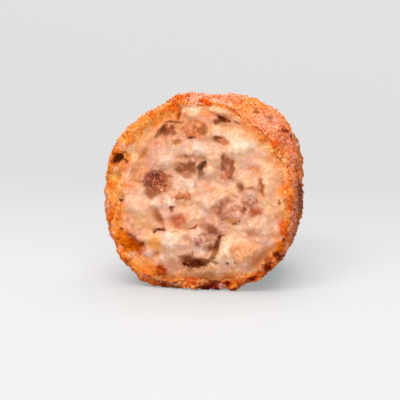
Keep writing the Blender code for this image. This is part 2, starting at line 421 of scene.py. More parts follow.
@dataclass(frozen=True)
class Shape:
    """The croquette's form: the same sizes and rules as its solids."""

    radius: float = 15.7 * MM
    length: float = 27.0 * MM
    bluntness: float = 2.2
    flattening: float = 1.3
    flat_angle: float = 270.0
    flat_spread: float = 55.0
    axis_height: float = 14.9 * MM
    face_y: float = -10.0 * MM
    waves: tuple[Wave, ...] = (Wave(2, 0.018, 56.0), Wave(3, 0.007, -37.0), Wave(4, 0.030, 47.5))
    worn: float = 2.0 * MM
    worn_angle: float = 48.0
    worn_spread: float = 30.0
    worn_length: float = 6.0 * MM
    crust: float = 1.9 * MM
    bands: tuple[Band, ...] = (
        Band(62.0, 40.0, -0.6 * MM),
        Band(140.0, 28.0, 1.1 * MM),
        Band(180.0, 22.0, 0.6 * MM),
        Band(240.0, 18.0, 0.7 * MM),
    )
    lump_size: float = 4.6 * MM
    lump_height: float = 0.45 * MM
    crag_size: float = 1.5 * MM
    crag_height: float = 0.40 * MM
    settle_height: float = 1.4 * MM
    tear_size: float = 2.3 * MM
    tear_height: float = 0.65 * MM
    flap_lift: float = 0.7 * MM
    flap_angle: float = 137.0
    flap_spread: float = 31.0
    sag: float = 0.3 * MM
    sag_reach: float = 3.0 * MM
    rest_rise: float = 0.08
    rest_corners: tuple[tuple[float, float], ...] = (
        (-4.8, -9.0),
        (3.8, -9.0),
        (3.2, 3.4),
        (-3.8, 3.4),
    )
    crown: float = 0.9 * MM
    wave_size: float = 3.6 * MM
    wave_height: float = 0.60 * MM
    grain_size: float = 1.5 * MM
    grain_height: float = 0.40 * MM
    rim_drop: float = 0.25 * MM

    def places(self, x: np.ndarray, behind: np.ndarray, z: np.ndarray) -> np.ndarray:
        """Places right of the axis, behind the cut's plane and above the axis, one a row."""
        return np.stack([x, behind + self.face_y, z + self.axis_height], axis=1)

    def on_cut(self, points: np.ndarray) -> tuple[np.ndarray, np.ndarray]:
        """How far places lie right of the axis and above it, in metres."""
        return points[:, 0], points[:, 2] - self.axis_height

    def section(self, angle: np.ndarray, behind: np.ndarray) -> np.ndarray:
        """Radius of the body.

        Args:
            angle: Angles from +X, in radians.
            behind: Distances behind the cut, in metres.

        Returns:
            The radius at each place, without the closed end's taper.
        """
        waves = sum(w.share * np.cos(w.lobes * (angle - math.radians(w.angle))) for w in self.waves)
        left = np.clip(1 - np.maximum(behind, 0) / self.worn_length, 0, 1)
        worn = self.worn * bump(angle, self.worn_angle, self.worn_spread) * left**2
        return self.radius * (1 + waves) - worn

    def thickness(self, angle: np.ndarray) -> np.ndarray:
        """Thickness of the crust at angles round the section."""
        return self.crust + sum(b.extra * bump(angle, b.angle, b.spread) for b in self.bands)

    def surface(self, angle: np.ndarray, share: np.ndarray, inset: float | None) -> np.ndarray:
        """Places on the body's skin or on a surface inside its crust.

        Args:
            angle: Angles from +X, in radians.
            share: Share of the length, 0 at the cut and 1 at the closed end.
            inset: None for the skin, or a clearance inside the crust's inner surface.

        Returns:
            One place a row, in metres.
        """
        side = 0.0 if inset is None else self.thickness(angle) + inset
        end = 0.0 if inset is None else self.crust + inset
        behind = share * (self.length - end)
        blunt = self.bluntness + self.flattening * bump(angle, self.flat_angle, self.flat_spread)
        taper = np.maximum(0.0, 1 - share**blunt) ** (1 / blunt)
        radius = (self.section(angle, behind) - side) * taper
        return self.places(radius * np.cos(angle), behind, radius * np.sin(angle))

    def settled(self, points: np.ndarray) -> np.ndarray:
        """Sags the underside into the flat spot that the croquette rests on.

        Args:
            points: Places, one row each, in metres.

        Returns:
            The places, none of them under the floor.
        """
        corners = np.array(self.rest_corners) * MM
        beside = np.full(len(points), -1.0)
        for start, end in zip(corners, np.roll(corners, -1, axis=0)):
            along = (end - start) / np.linalg.norm(end - start)
            away = points[:, :2] - start
            beside = np.maximum(beside, away[:, 0] * along[1] - away[:, 1] * along[0])
        settled = points.copy()
        settled[:, 2] -= self.sag * (1 - smooth(points[:, 2] / self.sag_reach))
        settled[:, 2] = np.maximum(settled[:, 2], self.rest_rise * np.maximum(0.0, beside))
        return settled

    def crumb_relief(self, points: np.ndarray) -> np.ndarray:
        """How far the solid's crumbs stand out at places of the skin."""
        lumps = self.lump_height * roughness_at(points, self.lump_size)
        return lumps + self.crag_height * roughness_at(points, self.crag_size)

    def tear(self, x: np.ndarray, z: np.ndarray) -> np.ndarray:
        """How far the crust's torn edge lies behind the cut's plane.

        Args:
            x: Places right of the axis, in metres.
            z: Places above the axis, in metres.

        Returns:
            The depth at each place, in metres.
        """
        away = (np.degrees(np.arctan2(z, x)) - self.flap_angle) / self.flap_spread
        flap = self.flap_lift * smooth(4 - 4 * np.abs(away) ** 3)
        return self.tear_height * roughness_at(plane(x, 0.0, z), self.tear_size) - flap

    def face(self, x: np.ndarray, z: np.ndarray) -> np.ndarray:
        """How far the cut filling lies behind the cut's plane, as its solid has it.

        Args:
            x: Places right of the axis, in metres.
            z: Places above the axis, in metres.

        Returns:
            The depth at each place, in metres; less than 0 is towards the viewer.
        """
        share = np.hypot(x, z) / (self.radius - self.crust)
        lift = self.crown * (1 - share**2) - self.rim_drop * smooth(share * 6 - 5)
        for swell in SWELLS:
            away = np.hypot(x / MM - swell.x, z / MM - swell.z) / swell.spread
            lift = lift + swell.lift * MM * np.exp(-(away**2))
        lift += self.wave_height * roughness_at(plane(x, 0.0, z), self.wave_size)
        lift += self.grain_height * roughness_at(plane(x, 0.01, z), self.grain_size)
        return -lift


SHAPE = Shape()


@dataclass(frozen=True)
class Viewpoint:
    """Where the photograph was taken from, and how large it shows the croquette."""

    azimuth: float = 12.0
    elevation: float = 12.0
    distance: float = 0.400
    pixels_per_mm: float = 6.45
    image: int = 400
    face_pixel: tuple[float, float] = (200.8, 196.7)

    def axes(self) -> tuple[Vector, Vector, Vector]:
        """The directions of the photograph.

        Returns:
            The directions to its right, to its top and towards the viewer.
        """
        azimuth, elevation = math.radians(self.azimuth), math.radians(self.elevation)
        ahead = math.cos(elevation)
        back = Vector((math.sin(azimuth) * ahead, -math.cos(azimuth) * ahead, math.sin(elevation)))
        right = Vector((math.cos(azimuth), math.sin(azimuth), 0))
        return right, back.cross(right), back

    def aim(self) -> Vector:
        """Where the camera looks.

        Returns:
            The place in the middle of the photograph, level with the cut.
        """
        right, up, _ = self.axes()
        step = MM / self.pixels_per_mm
        aim = Vector((0, SHAPE.face_y, SHAPE.axis_height))
        aim -= right * (self.face_pixel[0] - self.image / 2) * step
        return aim + up * (self.face_pixel[1] - self.image / 2) * step

    def pixels(self, points: np.ndarray) -> tuple[np.ndarray, np.ndarray]:
        """Where the photograph shows places.

        Args:
            points: Places, one row each, in metres.

        Returns:
            Pixels from its left side and from its top.
        """
        right, up, back = (np.array(axis) for axis in self.axes())
        away = points - np.array(self.aim())
        scale = self.pixels_per_mm / MM * self.distance / (self.distance - away @ back)
        return self.image / 2 + away @ right * scale, self.image / 2 - away @ up * scale

    def seen(self, out: np.ndarray) -> np.ndarray:
        """1 where a surface faces the viewer, 0 where it faces away, by its outward direction."""
        return smooth(out @ np.array(self.axes()[2]) * 6 + 0.4)


VIEW = Viewpoint()


def add_node(
    tree: bpy.types.NodeTree, kind: str, inputs: dict[str | int, object], **settings: object
) -> bpy.types.Node:
    """Adds a node to a tree.

    Args:
        tree: The tree.
        kind: Blender's name for the kind of node.
        inputs: What its inputs get, by name or place: plain values or other nodes' outputs.
        settings: The node's own settings.

    Returns:
        The new node.
    """
    node = tree.nodes.new(kind)
    for name, value in settings.items():
        setattr(node, name, value)
    for name, value in inputs.items():
        if isinstance(value, bpy.types.NodeSocket):
            tree.links.new(value, node.inputs[name])
        else:
            node.inputs[name].default_value = value
    return node


class Shading:
    """A node material under construction."""

    def __init__(self, name: str) -> None:
        """Starts a Principled material.

        Args:
            name: The material's name.
        """
        self.material = bpy.data.materials.new(name)
        self.material.use_nodes = True
        self.tree = self.material.node_tree
        self.shader = self.tree.nodes["Principled BSDF"]
        self.place = self.node("ShaderNodeTexCoord", {}).outputs["Object"]

    def node(self, kind: str, inputs: dict[str | int, object], **settings: object) -> bpy.types.Node:
        """Adds a node to the material, as add_node does."""
        return add_node(self.tree, kind, inputs, **settings)

    def set(self, **values: object) -> None:
        """Gives the shader's own sockets, named with _ for a space, values or other outputs."""
        for name, value in values.items():
            socket = self.shader.inputs[name.replace("_", " ")]
            if isinstance(value, bpy.types.NodeSocket):
                self.tree.links.new(value, socket)
            else:
                socket.default_value = value

    def attribute(self, name: str, output: str = "Color") -> bpy.types.NodeSocket:
        """The value of one of the mesh's attributes."""
        return self.node("ShaderNodeAttribute", {}, attribute_name=name).outputs[output]

    def mottle(self, size: float, detail: float = 3.0, rough: float = 0.6) -> bpy.types.NodeSocket:
        """A noise pattern, about 0.5 on average, in patches of a size in metres."""
        inputs = {"Scale": 1 / size, "Detail": detail, "Roughness": rough, "Vector": self.place}
        return self.node("ShaderNodeTexNoise", inputs).outputs["Fac"]

    def ramp(
        self, value: bpy.types.NodeSocket, low: float, high: float, out_low: float, out_high: float
    ) -> bpy.types.NodeSocket:
        """Maps a stretch of values to another, clamped at both ends.

        Args:
            value: The values.
            low: Where the stretch starts.
            high: Where it ends.
            out_low: What its start becomes.
            out_high: What its end becomes.

        Returns:
            The mapped values.
        """
        inputs = {"Value": value, "From Min": low, "From Max": high}
        inputs |= {"To Min": out_low, "To Max": out_high}
        return self.node("ShaderNodeMapRange", inputs).outputs["Result"]

    def blend(
        self,
        first: bpy.types.NodeSocket,
        second: Colour,
        share: bpy.types.NodeSocket,
        mode: str = "MULTIPLY",
    ) -> bpy.types.NodeSocket:
        """Blends a plain colour into another one, as far as the share says."""
        inputs = {"Factor": share, "A": first, "B": (*second, 1.0)}
        return self.node("ShaderNodeMix", inputs, data_type="RGBA", blend_type=mode).outputs["Result"]

    def bumps(self, *layers: tuple[bpy.types.NodeSocket, float]) -> None:
        """Adds fine relief in layers.

        Args:
            layers: A height pattern and its full height in metres, for each layer.
        """
        below = {}
        for height, depth in layers:
            node = self.node("ShaderNodeBump", {"Distance": depth, "Height": height, **below})
            below = {"Normal": node.outputs["Normal"]}
        self.set(**below)


@dataclass(frozen=True)
class CrumbFinish:
    """Fried breadcrumbs: dry, craggy and speckled."""

    name: str
    dark: Colour
    light: Colour
    dark_share: float = 0.42
    light_share: float = 0.65
    rough: float = 0.62
    speck: float = 0.42 * MM
    glint: float = 0.30 * MM
    grit: float = 0.12 * MM

    def material(self) -> bpy.types.Material:
        """Builds the node material.

        Returns:
            The finished material.
        """
        look = Shading(self.name)
        specks = look.ramp(look.mottle(self.speck), 0.40, 0.51, self.dark_share, 0.0)
        glints = look.ramp(look.mottle(self.glint, 2.0), 0.52, 0.62, 0.0, self.light_share)
        base = look.blend(look.blend(look.attribute(TINT), self.dark, specks), self.light, glints)
        look.set(Base_Color=base, Roughness=self.rough, Specular_IOR_Level=0.0)
        look.set(Subsurface_Weight=0.20, Subsurface_Scale=0.2 * MM)
        look.bumps((look.mottle(self.glint), 0.10 * MM), (look.mottle(self.grit), 0.05 * MM))
        return look.material


@dataclass(frozen=True)
class GrainFinish:
    """Loose crumb grains, which vary the crust's own colour from grain to grain.

    The own colour is multiplied by `deep` for some grains and by `bright` for others.
    """

    name: str
    deep: Colour
    bright: Colour
    share: float = 0.9
    lift: float = 0.35
    rough: float = 0.58
    patch: float = 0.5 * MM
    grit: float = 0.15 * MM

    def material(self) -> bpy.types.Material:
        """Builds the node material.

        Returns:
            The finished material.
        """
        look = Shading(self.name)
        tone = look.attribute(TONE, "Fac")
        own = look.attribute(TINT)
        own = look.blend(own, self.deep, look.ramp(tone, 0.0, 0.5, self.share, 0.0))
        own = look.blend(own, self.bright, look.ramp(tone, 0.5, 0.9, 0.0, self.lift))
        own = look.blend(own, self.deep, look.ramp(look.mottle(self.patch), 0.40, 0.60, 0.35, 0.0))
        look.set(Base_Color=own, Roughness=self.rough, Specular_IOR_Level=0.0)
        look.set(Subsurface_Weight=0.20, Subsurface_Scale=0.2 * MM)
        look.bumps((look.mottle(self.grit), 0.06 * MM))
        return look.material


@dataclass(frozen=True)
class CreamFinish:
    """Moist, set cream sauce: soft, slightly see-through, glossy in its low places."""

    name: str
    pale: Colour = (1.06, 1.22, 1.48)
    deep: Colour = (0.88, 0.68, 0.48)
    stain: float = 1.1 * MM
    highlight_patch_size: float = 0.8 * MM
    shine: float = 0.9 * MM
    ripple: float = 0.45 * MM
    bleed: Colour = (1.0, 0.50, 0.28)

    def material(self) -> bpy.types.Material:
        """Builds the node material.

        Returns:
            The finished material.
        """
        look = Shading(self.name)
        stained = look.ramp(look.mottle(self.stain, 2.5), 0.38, 0.52, 0.40, 0.0)
        # Painted highlight: random pale patches lighten the cream.
        painted_highlight_patches = look.ramp(look.mottle(self.highlight_patch_size, 2.5), 0.50, 0.62, 0.0, 0.55)
        base = look.blend(look.blend(look.attribute(TINT), self.deep, stained), self.pale, painted_highlight_patches)
        gloss = look.ramp(look.mottle(self.shine), 0.35, 0.65, 0.30, 0.52)
        look.set(Base_Color=base, Roughness=gloss, Specular_IOR_Level=0.02)
        look.set(Subsurface_Weight=0.30, Subsurface_Scale=0.3 * MM)
        look.set(Subsurface_Radius=self.bleed)
        look.bumps((look.mottle(self.ripple, 1.0), 0.04 * MM))
        return look.material


@dataclass(frozen=True)
class MeatFinish:
    """Braised meat: short moist fibres with fat and sauce between them."""

    name: str
    dark: Colour = (0.45, 0.32, 0.24)
    fat: Colour = (1.25, 1.50, 1.65)
    dark_share: float = 0.25
    fat_share: float = 0.35
    grain: float = 0.55 * MM
    steep: float = 0.18
    grit: float = 0.14 * MM
    bleed: Colour = (1.0, 0.40, 0.22)

    def material(self) -> bpy.types.Material:
        """Builds the node material.

        Returns:
            The finished material.
        """
        look = Shading(self.name)
        fibres = look.mottle(self.grain, 3.0, 0.65)
        dark = look.ramp(fibres, 0.52 - self.steep, 0.52, self.dark_share, 0.0)
        fatty = look.mottle(self.grain * 1.2)
        fat = look.ramp(fatty, 0.53, 0.53 + self.steep * 0.8, 0.0, self.fat_share)
        base = look.blend(look.blend(look.attribute(TINT), self.dark, dark), self.fat, fat)
        look.set(Base_Color=base, Roughness=0.42, Specular_IOR_Level=0.02)
        look.set(Subsurface_Weight=0.25, Subsurface_Scale=0.25 * MM)
        look.set(Subsurface_Radius=self.bleed)
        look.bumps((fibres, 0.12 * MM), (look.mottle(self.grit), 0.04 * MM))
        return look.material


def add_object(name: str, data: bpy.types.ID) -> bpy.types.Object:
    """Makes an object at the origin and links it to the scene.

    Args:
        name: The object's name.
        data: Its mesh, lamp or camera.

    Returns:
        The new object.
    """
    piece = bpy.data.objects.new(name, data)
    bpy.context.scene.collection.objects.link(piece)
    return piece


def mesh_object(
    name: str, points: np.ndarray, faces: list[tuple[int, ...]], material: bpy.types.Material
) -> bpy.types.Object:
    """Makes a smooth-shaded object at the origin.

    Args:
        name: The object's name.
        points: Its vertices, one row each, in metres.
        faces: The vertices of each face.
        material: Its finish.

    Returns:
        The new object, linked to the scene.
    """
    mesh = bpy.data.meshes.new(name)
    mesh.from_pydata(points.tolist(), [], faces)
    mesh.materials.append(material)
    mesh.shade_smooth()
    mesh.update()
    return add_object(name, mesh)


def face_outwards(piece: bpy.types.Object) -> None:
    """Turns all faces of a closed piece outwards.

    Args:
        piece: The piece.
    """
    bm = bmesh.new()
    bm.from_mesh(piece.data)
    bmesh.ops.recalc_face_normals(bm, faces=bm.faces)
    bm.to_mesh(piece.data)
    bm.free()


def store_colours(piece: bpy.types.Object, colours: np.ndarray) -> None:
    """Stores a colour for each vertex.

    Args:
        piece: The object.
        colours: The linear colours, one row each.
    """
    layer = piece.data.color_attributes.new(TINT, "FLOAT_COLOR", "POINT")
    values = np.ones((len(colours), 4), np.float32)
    values[:, :3] = np.clip(colours, 0.0, 1.0)
    layer.data.foreach_set("color", values.ravel())


def store_values(piece: bpy.types.Object, name: str, values: np.ndarray) -> None:
    """Stores a number for each vertex."""
    layer = piece.data.attributes.new(name, "FLOAT", "POINT")
    layer.data.foreach_set("value", values.astype(np.float32))


def hand_over(piece: bpy.types.Object, nodes: Iterable[str] = ()) -> None:
    """Puts a finished piece on the croquette's body.

    Args:
        piece: The finished piece.
        nodes: The solids that it stands for.
    """
    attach(piece, BODY)
    for node in nodes:
        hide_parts(node)
    LOG.info("%s: %d faces", piece.name, len(piece.data.polygons))


@dataclass(frozen=True)
class MeatLook:
    """The colours of one piece of meat: its body, its bright spots and its edge."""

    body: Colour
    bright: Colour
    halo: Colour


MEAT_LOOKS = {
    name: MeatLook(paint(*body), paint(*bright), paint(*halo))
    for name, body, bright, halo in (
        ("meat_dark_left", (150, 70, 48), (206, 128, 96), (216, 142, 96)),
        ("meat_bottom_dark", (96, 40, 26), (132, 70, 46), (176, 112, 78)),
        ("meat_top", (216, 122, 76), (238, 162, 118), (226, 152, 108)),
        ("meat_top_left", (160, 84, 56), (206, 136, 102), (206, 134, 92)),
        ("meat_upper_middle", (176, 104, 70), (208, 142, 106), (214, 156, 118)),
        ("meat_upper_right", (184, 102, 66), (216, 146, 108), (222, 156, 116)),
        ("meat_small_upper", (184, 106, 68), (214, 142, 100), (222, 152, 104)),
        ("meat_right_low", (206, 134, 102), (244, 188, 154), (226, 162, 128)),
        ("meat_right_high", (206, 134, 104), (240, 184, 156), (226, 160, 124)),
        ("meat_flake_middle", (218, 132, 86), (238, 162, 116), (236, 170, 128)),
        ("meat_low_middle", (204, 112, 72), (226, 142, 102), (230, 160, 120)),
        ("meat_bottom", (212, 144, 112), (250, 200, 170), (224, 160, 126)),
        ("meat_slab", (228, 154, 108), (240, 176, 130), (236, 172, 128)),
        ("meat_right_small", (216, 138, 100), (236, 170, 132), (240, 180, 140)),
    )
}


CUT_MARKS = (
    # pale and pink cream, with some painted highlights
    Mark(165, 158, 36, 22, 0, 232, 182, 154),
    Mark(200, 148, 34, 16, 0, 237, 194, 168),
    Mark(194, 150, 14, 8, 0, 248, 214, 188, 0.7),
    Mark(236, 148, 26, 18, -25, 249, 208, 172),
    Mark(236, 149, 12, 8, 0, 252, 220, 188, 0.7),
    Mark(247, 146, 22, 13, -25, 252, 214, 182, 0.7),
    Mark(232, 131, 26, 12, -25, 238, 190, 146, 0.7),
    Mark(217, 110, 30, 11, -14, 252, 180, 128, 0.9),
    Mark(222, 113, 16, 5, -14, 248, 194, 148, 0.6),
    Mark(191, 108, 24, 16, 0, 250, 182, 134, 0.95),
    Mark(192, 112, 14, 8, 0, 252, 200, 160, 0.6),
    Mark(270, 188, 18, 50, 4, 249, 192, 148),
    Mark(262, 226, 34, 26, 0, 245, 196, 160),
    Mark(266, 205, 10, 8, 0, 252, 206, 158),
    Mark(212, 176, 18, 14, 0, 238, 194, 160, 0.7),
    Mark(208, 170.5, 13, 7, 8, 248, 208, 174, 0.8),
    Mark(182, 186, 18, 20, 0, 244, 198, 166, 0.7),
    Mark(205, 198, 30, 20, 0, 235, 184, 150, 0.7),
    Mark(196, 212, 36, 20, 0, 244, 190, 152, 0.6),
    Mark(137, 205, 28, 26, 0, 240, 188, 152, 0.7),
    Mark(143, 195, 10, 16, 0, 242, 192, 162, 0.6),
    Mark(141, 220, 18, 16, 20, 246, 182, 126),
    Mark(150, 226, 10, 8, 0, 244, 172, 106, 0.6),
    Mark(160, 203, 18, 14, 0, 240, 194, 166),
    Mark(172, 240, 30, 16, 0, 251, 206, 172),
    Mark(155, 243, 11, 14, 0, 248, 168, 84, 0.95),
    Mark(172, 254, 20, 9, -8, 246, 194, 156, 0.7),
    Mark(148, 252, 9, 9, 0, 238, 194, 170),
    Mark(164, 257, 8, 8, 0, 238, 188, 160, 0.7),
    Mark(228, 247, 36, 17, 54, 252, 214, 174, 0.8, 0.8),
    Mark(247, 268, 12, 9, 0, 236, 186, 158, 0.7),
    Mark(219, 268, 8, 10, 0, 240, 190, 144, 0.7),
    Mark(270, 243, 9, 7, 0, 236, 180, 156, 0.7),
    Mark(129.5, 174, 12, 7, 60, 251, 202, 160, 0.85, 0.4),
    Mark(134, 149, 16, 9, 0, 251, 192, 148, 0.85),
    Mark(135, 157, 10, 18, 35, 255, 196, 138, 0.8),
    Mark(149, 133, 10, 12, 0, 244, 186, 132),
    # warm shade and tan
    Mark(138, 171, 26, 14, 72, 226, 160, 110),
    Mark(137, 181, 10, 4, 0, 202, 132, 84, 0.7),
    Mark(144, 154, 22, 3.5, 50, 228, 156, 84),
    Mark(152, 208, 16, 5, -68, 232, 168, 116, 0.8, 0.8),
    Mark(155.5, 254, 7, 8, 0, 222, 156, 108),
    Mark(172, 268, 14, 16, 0, 216, 156, 124),
    Mark(190, 275, 20, 8, 0, 196, 134, 84),
    Mark(208, 276, 20, 9, 0, 184, 122, 70),
    Mark(206, 268, 20, 5, 0, 208, 140, 88, 0.8),
    Mark(232, 273, 14, 7, 0, 226, 152, 84),
    Mark(229, 278, 12, 4, 5, 166, 82, 22),
    Mark(259, 259, 28, 8, 45, 206, 136, 84, 0.8, 0.8),
    Mark(270, 204, 8, 2.5, -40, 230, 162, 74, 0.7),
    Mark(212, 207, 7, 3, 20, 224, 150, 92),
    Mark(212, 189, 9, 5, 0, 234, 160, 112, 0.7),
    Mark(254, 168.5, 9, 4, -5, 230, 156, 94, 0.7),
    Mark(257, 171, 4, 3, -30, 234, 148, 60),
    Mark(240, 155, 7, 5, 0, 226, 166, 112, 0.6),
    Mark(252, 178, 14, 8, 0, 240, 176, 140, 0.6),
    Mark(222, 124, 20, 5, -10, 206, 146, 96),
    Mark(235, 113, 12, 3, -25, 246, 158, 78),
    Mark(193, 117, 24, 4, 5, 222, 160, 118, 0.7),
    Mark(186, 104, 10, 8, 0, 250, 172, 112, 0.7),
    Mark(180, 122, 9, 3.5, 15, 174, 100, 48, 0.95),
    Mark(181, 128, 12, 9, 0, 226, 152, 98),
    Mark(160, 132, 18, 5, 57, 172, 110, 56, 0.9),
    Mark(167.5, 139, 9, 6, 0, 226, 156, 122),
    Mark(158, 143, 9, 5, -15, 220, 138, 92, 0.8),
    Mark(178, 142, 11, 4.5, 8, 196, 124, 56),
    Mark(155, 149, 10, 8, 0, 232, 160, 132, 0.7),
    Mark(151, 165, 12, 9, 0, 234, 164, 134, 0.6),
    Mark(186, 157, 12, 4, 0, 192, 118, 74),
    Mark(150, 193, 13, 7, -20, 150, 84, 54, 0.9),
    Mark(151, 196.5, 6, 7, 20, 182, 112, 68, 0.85),
    Mark(170, 180, 7, 14, 0, 218, 140, 94, 0.6),
    Mark(172, 173, 5, 4, 0, 240, 152, 110, 0.7),
    Mark(203, 178, 9, 6, -20, 214, 152, 120, 0.7),
    Mark(132.5, 226.5, 3, 5, 0, 200, 150, 116, 0.7),
    Mark(137, 238, 12, 6, -30, 226, 172, 152, 0.95),
    Mark(262, 147, 12, 7, 0, 236, 170, 112, 0.7),
    Mark(269, 149, 5, 4, 0, 214, 146, 74, 0.7),
    # meat and the sauce that it stains, with painted shade beside the pieces and a few painted
    # highlights
    Mark(195, 130, 25, 18, 0, 212, 122, 74, 0.8, 0.4),
    Mark(190, 127, 6, 5, 20, 236, 156, 112, 0.7),
    Mark(197, 124, 7, 4, -10, 232, 150, 108, 0.7),
    Mark(198.5, 131, 4, 7, 0, 190, 108, 68, 0.7),
    Mark(194, 134, 9, 5, 0, 232, 132, 84, 0.7),
    Mark(187, 134, 2, 5, 0, 170, 96, 60, 0.7),
    Mark(204, 130, 9, 9, 0, 158, 94, 46),
    Mark(200, 127, 4, 4, 0, 176, 100, 60, 0.6),
    Mark(191, 137.8, 9, 3.4, 10, 122, 62, 26, 1.0, 0.4),
    Mark(166.5, 129, 12, 9, 30, 166, 82, 40, 1.0, 0.35),
    Mark(163.5, 131, 6, 6, 0, 118, 68, 44),
    Mark(169, 126, 2.5, 3, 0, 226, 160, 140),
    Mark(175, 132.5, 9, 3, -25, 152, 86, 52),
    Mark(186, 168.5, 19, 15, 0, 196, 122, 82, 0.95, 0.4),
    Mark(190.5, 163.5, 8, 5, 10, 142, 78, 50),
    Mark(178.5, 169.5, 7, 5, 0, 152, 88, 50, 0.8),
    Mark(184, 166, 5, 4, 0, 164, 96, 64, 0.8),
    Mark(191, 171, 5, 5, 0, 172, 104, 72, 0.8),
    Mark(186.5, 171.5, 4, 3.5, 0, 214, 156, 126, 0.8),
    Mark(188, 177, 8, 5, 0, 184, 120, 88),
    Mark(178, 161.5, 11, 5, 28, 230, 168, 122, 0.95, 0.4),
    Mark(178.5, 177, 12, 6, -28, 238, 190, 160, 0.95, 0.4),
    Mark(194.5, 177.5, 4, 5, 0, 232, 184, 156, 0.8, 0.4),
    Mark(156, 182, 25, 23, 0, 178, 98, 62, 0.95, 0.15),
    Mark(149.5, 179, 11, 17, -20, 138, 66, 52, 0.8, 0.7),
    Mark(156, 174, 16, 6, 0, 138, 66, 54, 0.8, 0.7),
    Mark(165, 176, 9, 6, 0, 176, 92, 60, 0.7),
    Mark(163, 187, 9, 9, 0, 186, 108, 70, 0.7, 0.7),
    Mark(226, 168, 26, 14, 86, 190, 112, 78, 0.95, 0.35),
    Mark(232, 170, 20, 4, 85, 156, 88, 50),
    Mark(225.5, 160, 5, 7, 30, 168, 96, 66, 0.8),
    Mark(224.5, 168, 4, 7, 0, 172, 96, 66, 0.8),
    Mark(228, 168, 4, 8, 10, 208, 136, 106, 0.8),
    Mark(223.5, 173, 4, 4, 0, 226, 152, 120, 0.8),
    Mark(225, 178, 8, 5, 0, 206, 118, 72),
    Mark(217.5, 166, 7, 30, 4, 238, 188, 156, 0.95, 0.5),
    Mark(232.5, 156, 8, 10, 40, 240, 190, 156, 0.95, 0.4),
    Mark(222.5, 156, 3.5, 7, 0, 140, 78, 44, 0.95),
    Mark(229.5, 178, 3.5, 4, 0, 148, 74, 36),
    Mark(216.5, 138.5, 8, 4, -15, 140, 86, 36, 0.95, 0.4),
    Mark(224, 142, 11, 5, -12, 206, 126, 78, 0.9, 0.4),
    Mark(250, 195, 11, 11, 0, 224, 178, 158),
    Mark(238, 205, 10, 8, 0, 234, 178, 150),
    Mark(233, 212, 18, 12, 0, 224, 150, 120),
    Mark(225, 203, 15, 9, 10, 196, 136, 108, 0.9),
    Mark(221, 209, 6, 16, -10, 160, 98, 70, 0.9, 0.7),
    Mark(231, 206, 8, 6, 0, 244, 192, 168, 0.9),
    Mark(237, 214, 7, 6, 20, 242, 184, 156, 0.9),
    Mark(228, 214, 6, 5, 0, 236, 172, 146, 0.8),
    Mark(233, 210, 3, 8, 30, 184, 118, 88, 0.8),
    Mark(243, 210, 4, 8, 10, 158, 92, 64, 0.85),
    Mark(246, 203, 11, 5, -20, 200, 116, 88),
    Mark(255, 210, 9, 7, 0, 186, 92, 54),
    Mark(249, 188, 8, 3, 0, 184, 110, 74, 0.9),
    Mark(256, 212, 15, 8, 12, 192, 98, 52, 0.8),
    Mark(259.5, 187.5, 7, 9, 0, 188, 98, 54, 0.6),
    Mark(244, 196, 8, 8, 0, 204, 138, 110, 0.6),
    Mark(229, 202.5, 8, 5, 0, 176, 108, 78, 0.6),
    Mark(179, 226.5, 9, 5, -10, 196, 112, 66, 0.75),
    Mark(252, 259, 9, 8, 0, 244, 176, 130, 0.6),
    Mark(220, 260, 8, 8, 0, 253, 212, 176, 0.75),
    Mark(180, 251.5, 9, 8, 0, 250, 196, 162, 0.7),
    Mark(252, 156, 10, 8, 0, 254, 206, 176, 0.7),
    Mark(261.5, 186, 20, 4, -80, 190, 108, 62, 0.9),
    Mark(233, 221, 15, 5, 0, 224, 146, 84),
    Mark(243.5, 220, 4, 6, 0, 250, 192, 146),
    Mark(253, 233, 13, 10, 0, 214, 140, 108),
    Mark(183, 196.5, 20, 7, 5, 212, 120, 78, 0.9, 0.4),
    Mark(179, 220, 17, 12, 15, 204, 110, 74, 0.85, 0.5),
    Mark(203, 237, 32, 30, 0, 218, 152, 118, 0.8, 0.4),
    Mark(195, 232, 13, 11, 20, 252, 204, 174, 0.95),
    Mark(211, 229, 18, 8, -38, 150, 78, 52, 0.95, 0.6),
    Mark(203, 226, 8, 5, 10, 184, 122, 94, 0.8),
    Mark(205, 236, 9, 8, 0, 222, 152, 124, 0.7),
    Mark(198.5, 243, 13, 14, 0, 250, 202, 178, 0.9, 0.4),
    Mark(198.5, 242, 7, 9, 0, 190, 116, 92, 0.95, 0.5),
    Mark(188.5, 243, 5, 8, 0, 248, 198, 170, 0.8),
    Mark(197, 252, 14, 8, 0, 253, 210, 186, 0.95),
    Mark(207, 247, 5, 13, 10, 226, 170, 146, 0.8),
    Mark(192.5, 253.5, 2.5, 4.5, 0, 196, 124, 74, 0.9, 0.4),
    Mark(210.5, 247, 5, 8, 10, 166, 96, 52),
    Mark(215, 249, 6, 10, 0, 172, 118, 94, 0.6),
    Mark(246, 252, 26, 20, 15, 240, 168, 118, 0.9, 0.35),
    Mark(236, 250, 8, 12, 60, 224, 150, 104, 0.6, 0.8),
    # pale shreds, with painted highlights on them and painted shade beside them
    Mark(191.5, 189, 16, 6, 100, 248, 206, 172),
    Mark(172.8, 202.8, 4.5, 7.5, 25, 255, 220, 194, 1.0, 0.35),
    Mark(177, 197, 10, 1.8, 50, 196, 110, 66, 0.8),
    Mark(197, 148.5, 8, 5, 20, 252, 214, 190, 0.7, 0.7),
    Mark(191.5, 187, 3, 8, -20, 254, 224, 198, 0.8, 0.6),
    Mark(164, 160, 14, 8, 0, 240, 200, 176, 0.5, 0.8),
    Mark(230, 260, 9, 3, 0, 254, 206, 162),
    Mark(238, 270, 6, 4, 0, 252, 220, 182, 0.7),
    # holes and cracks: their dark colour, partly their own and partly painted shade
    Mark(215.5, 121.5, 7, 3.5, -10, 156, 82, 40, 0.9, 0.4),
    Mark(222, 118.8, 11, 5.5, -25, 128, 44, 6, 1.0, 0.35),
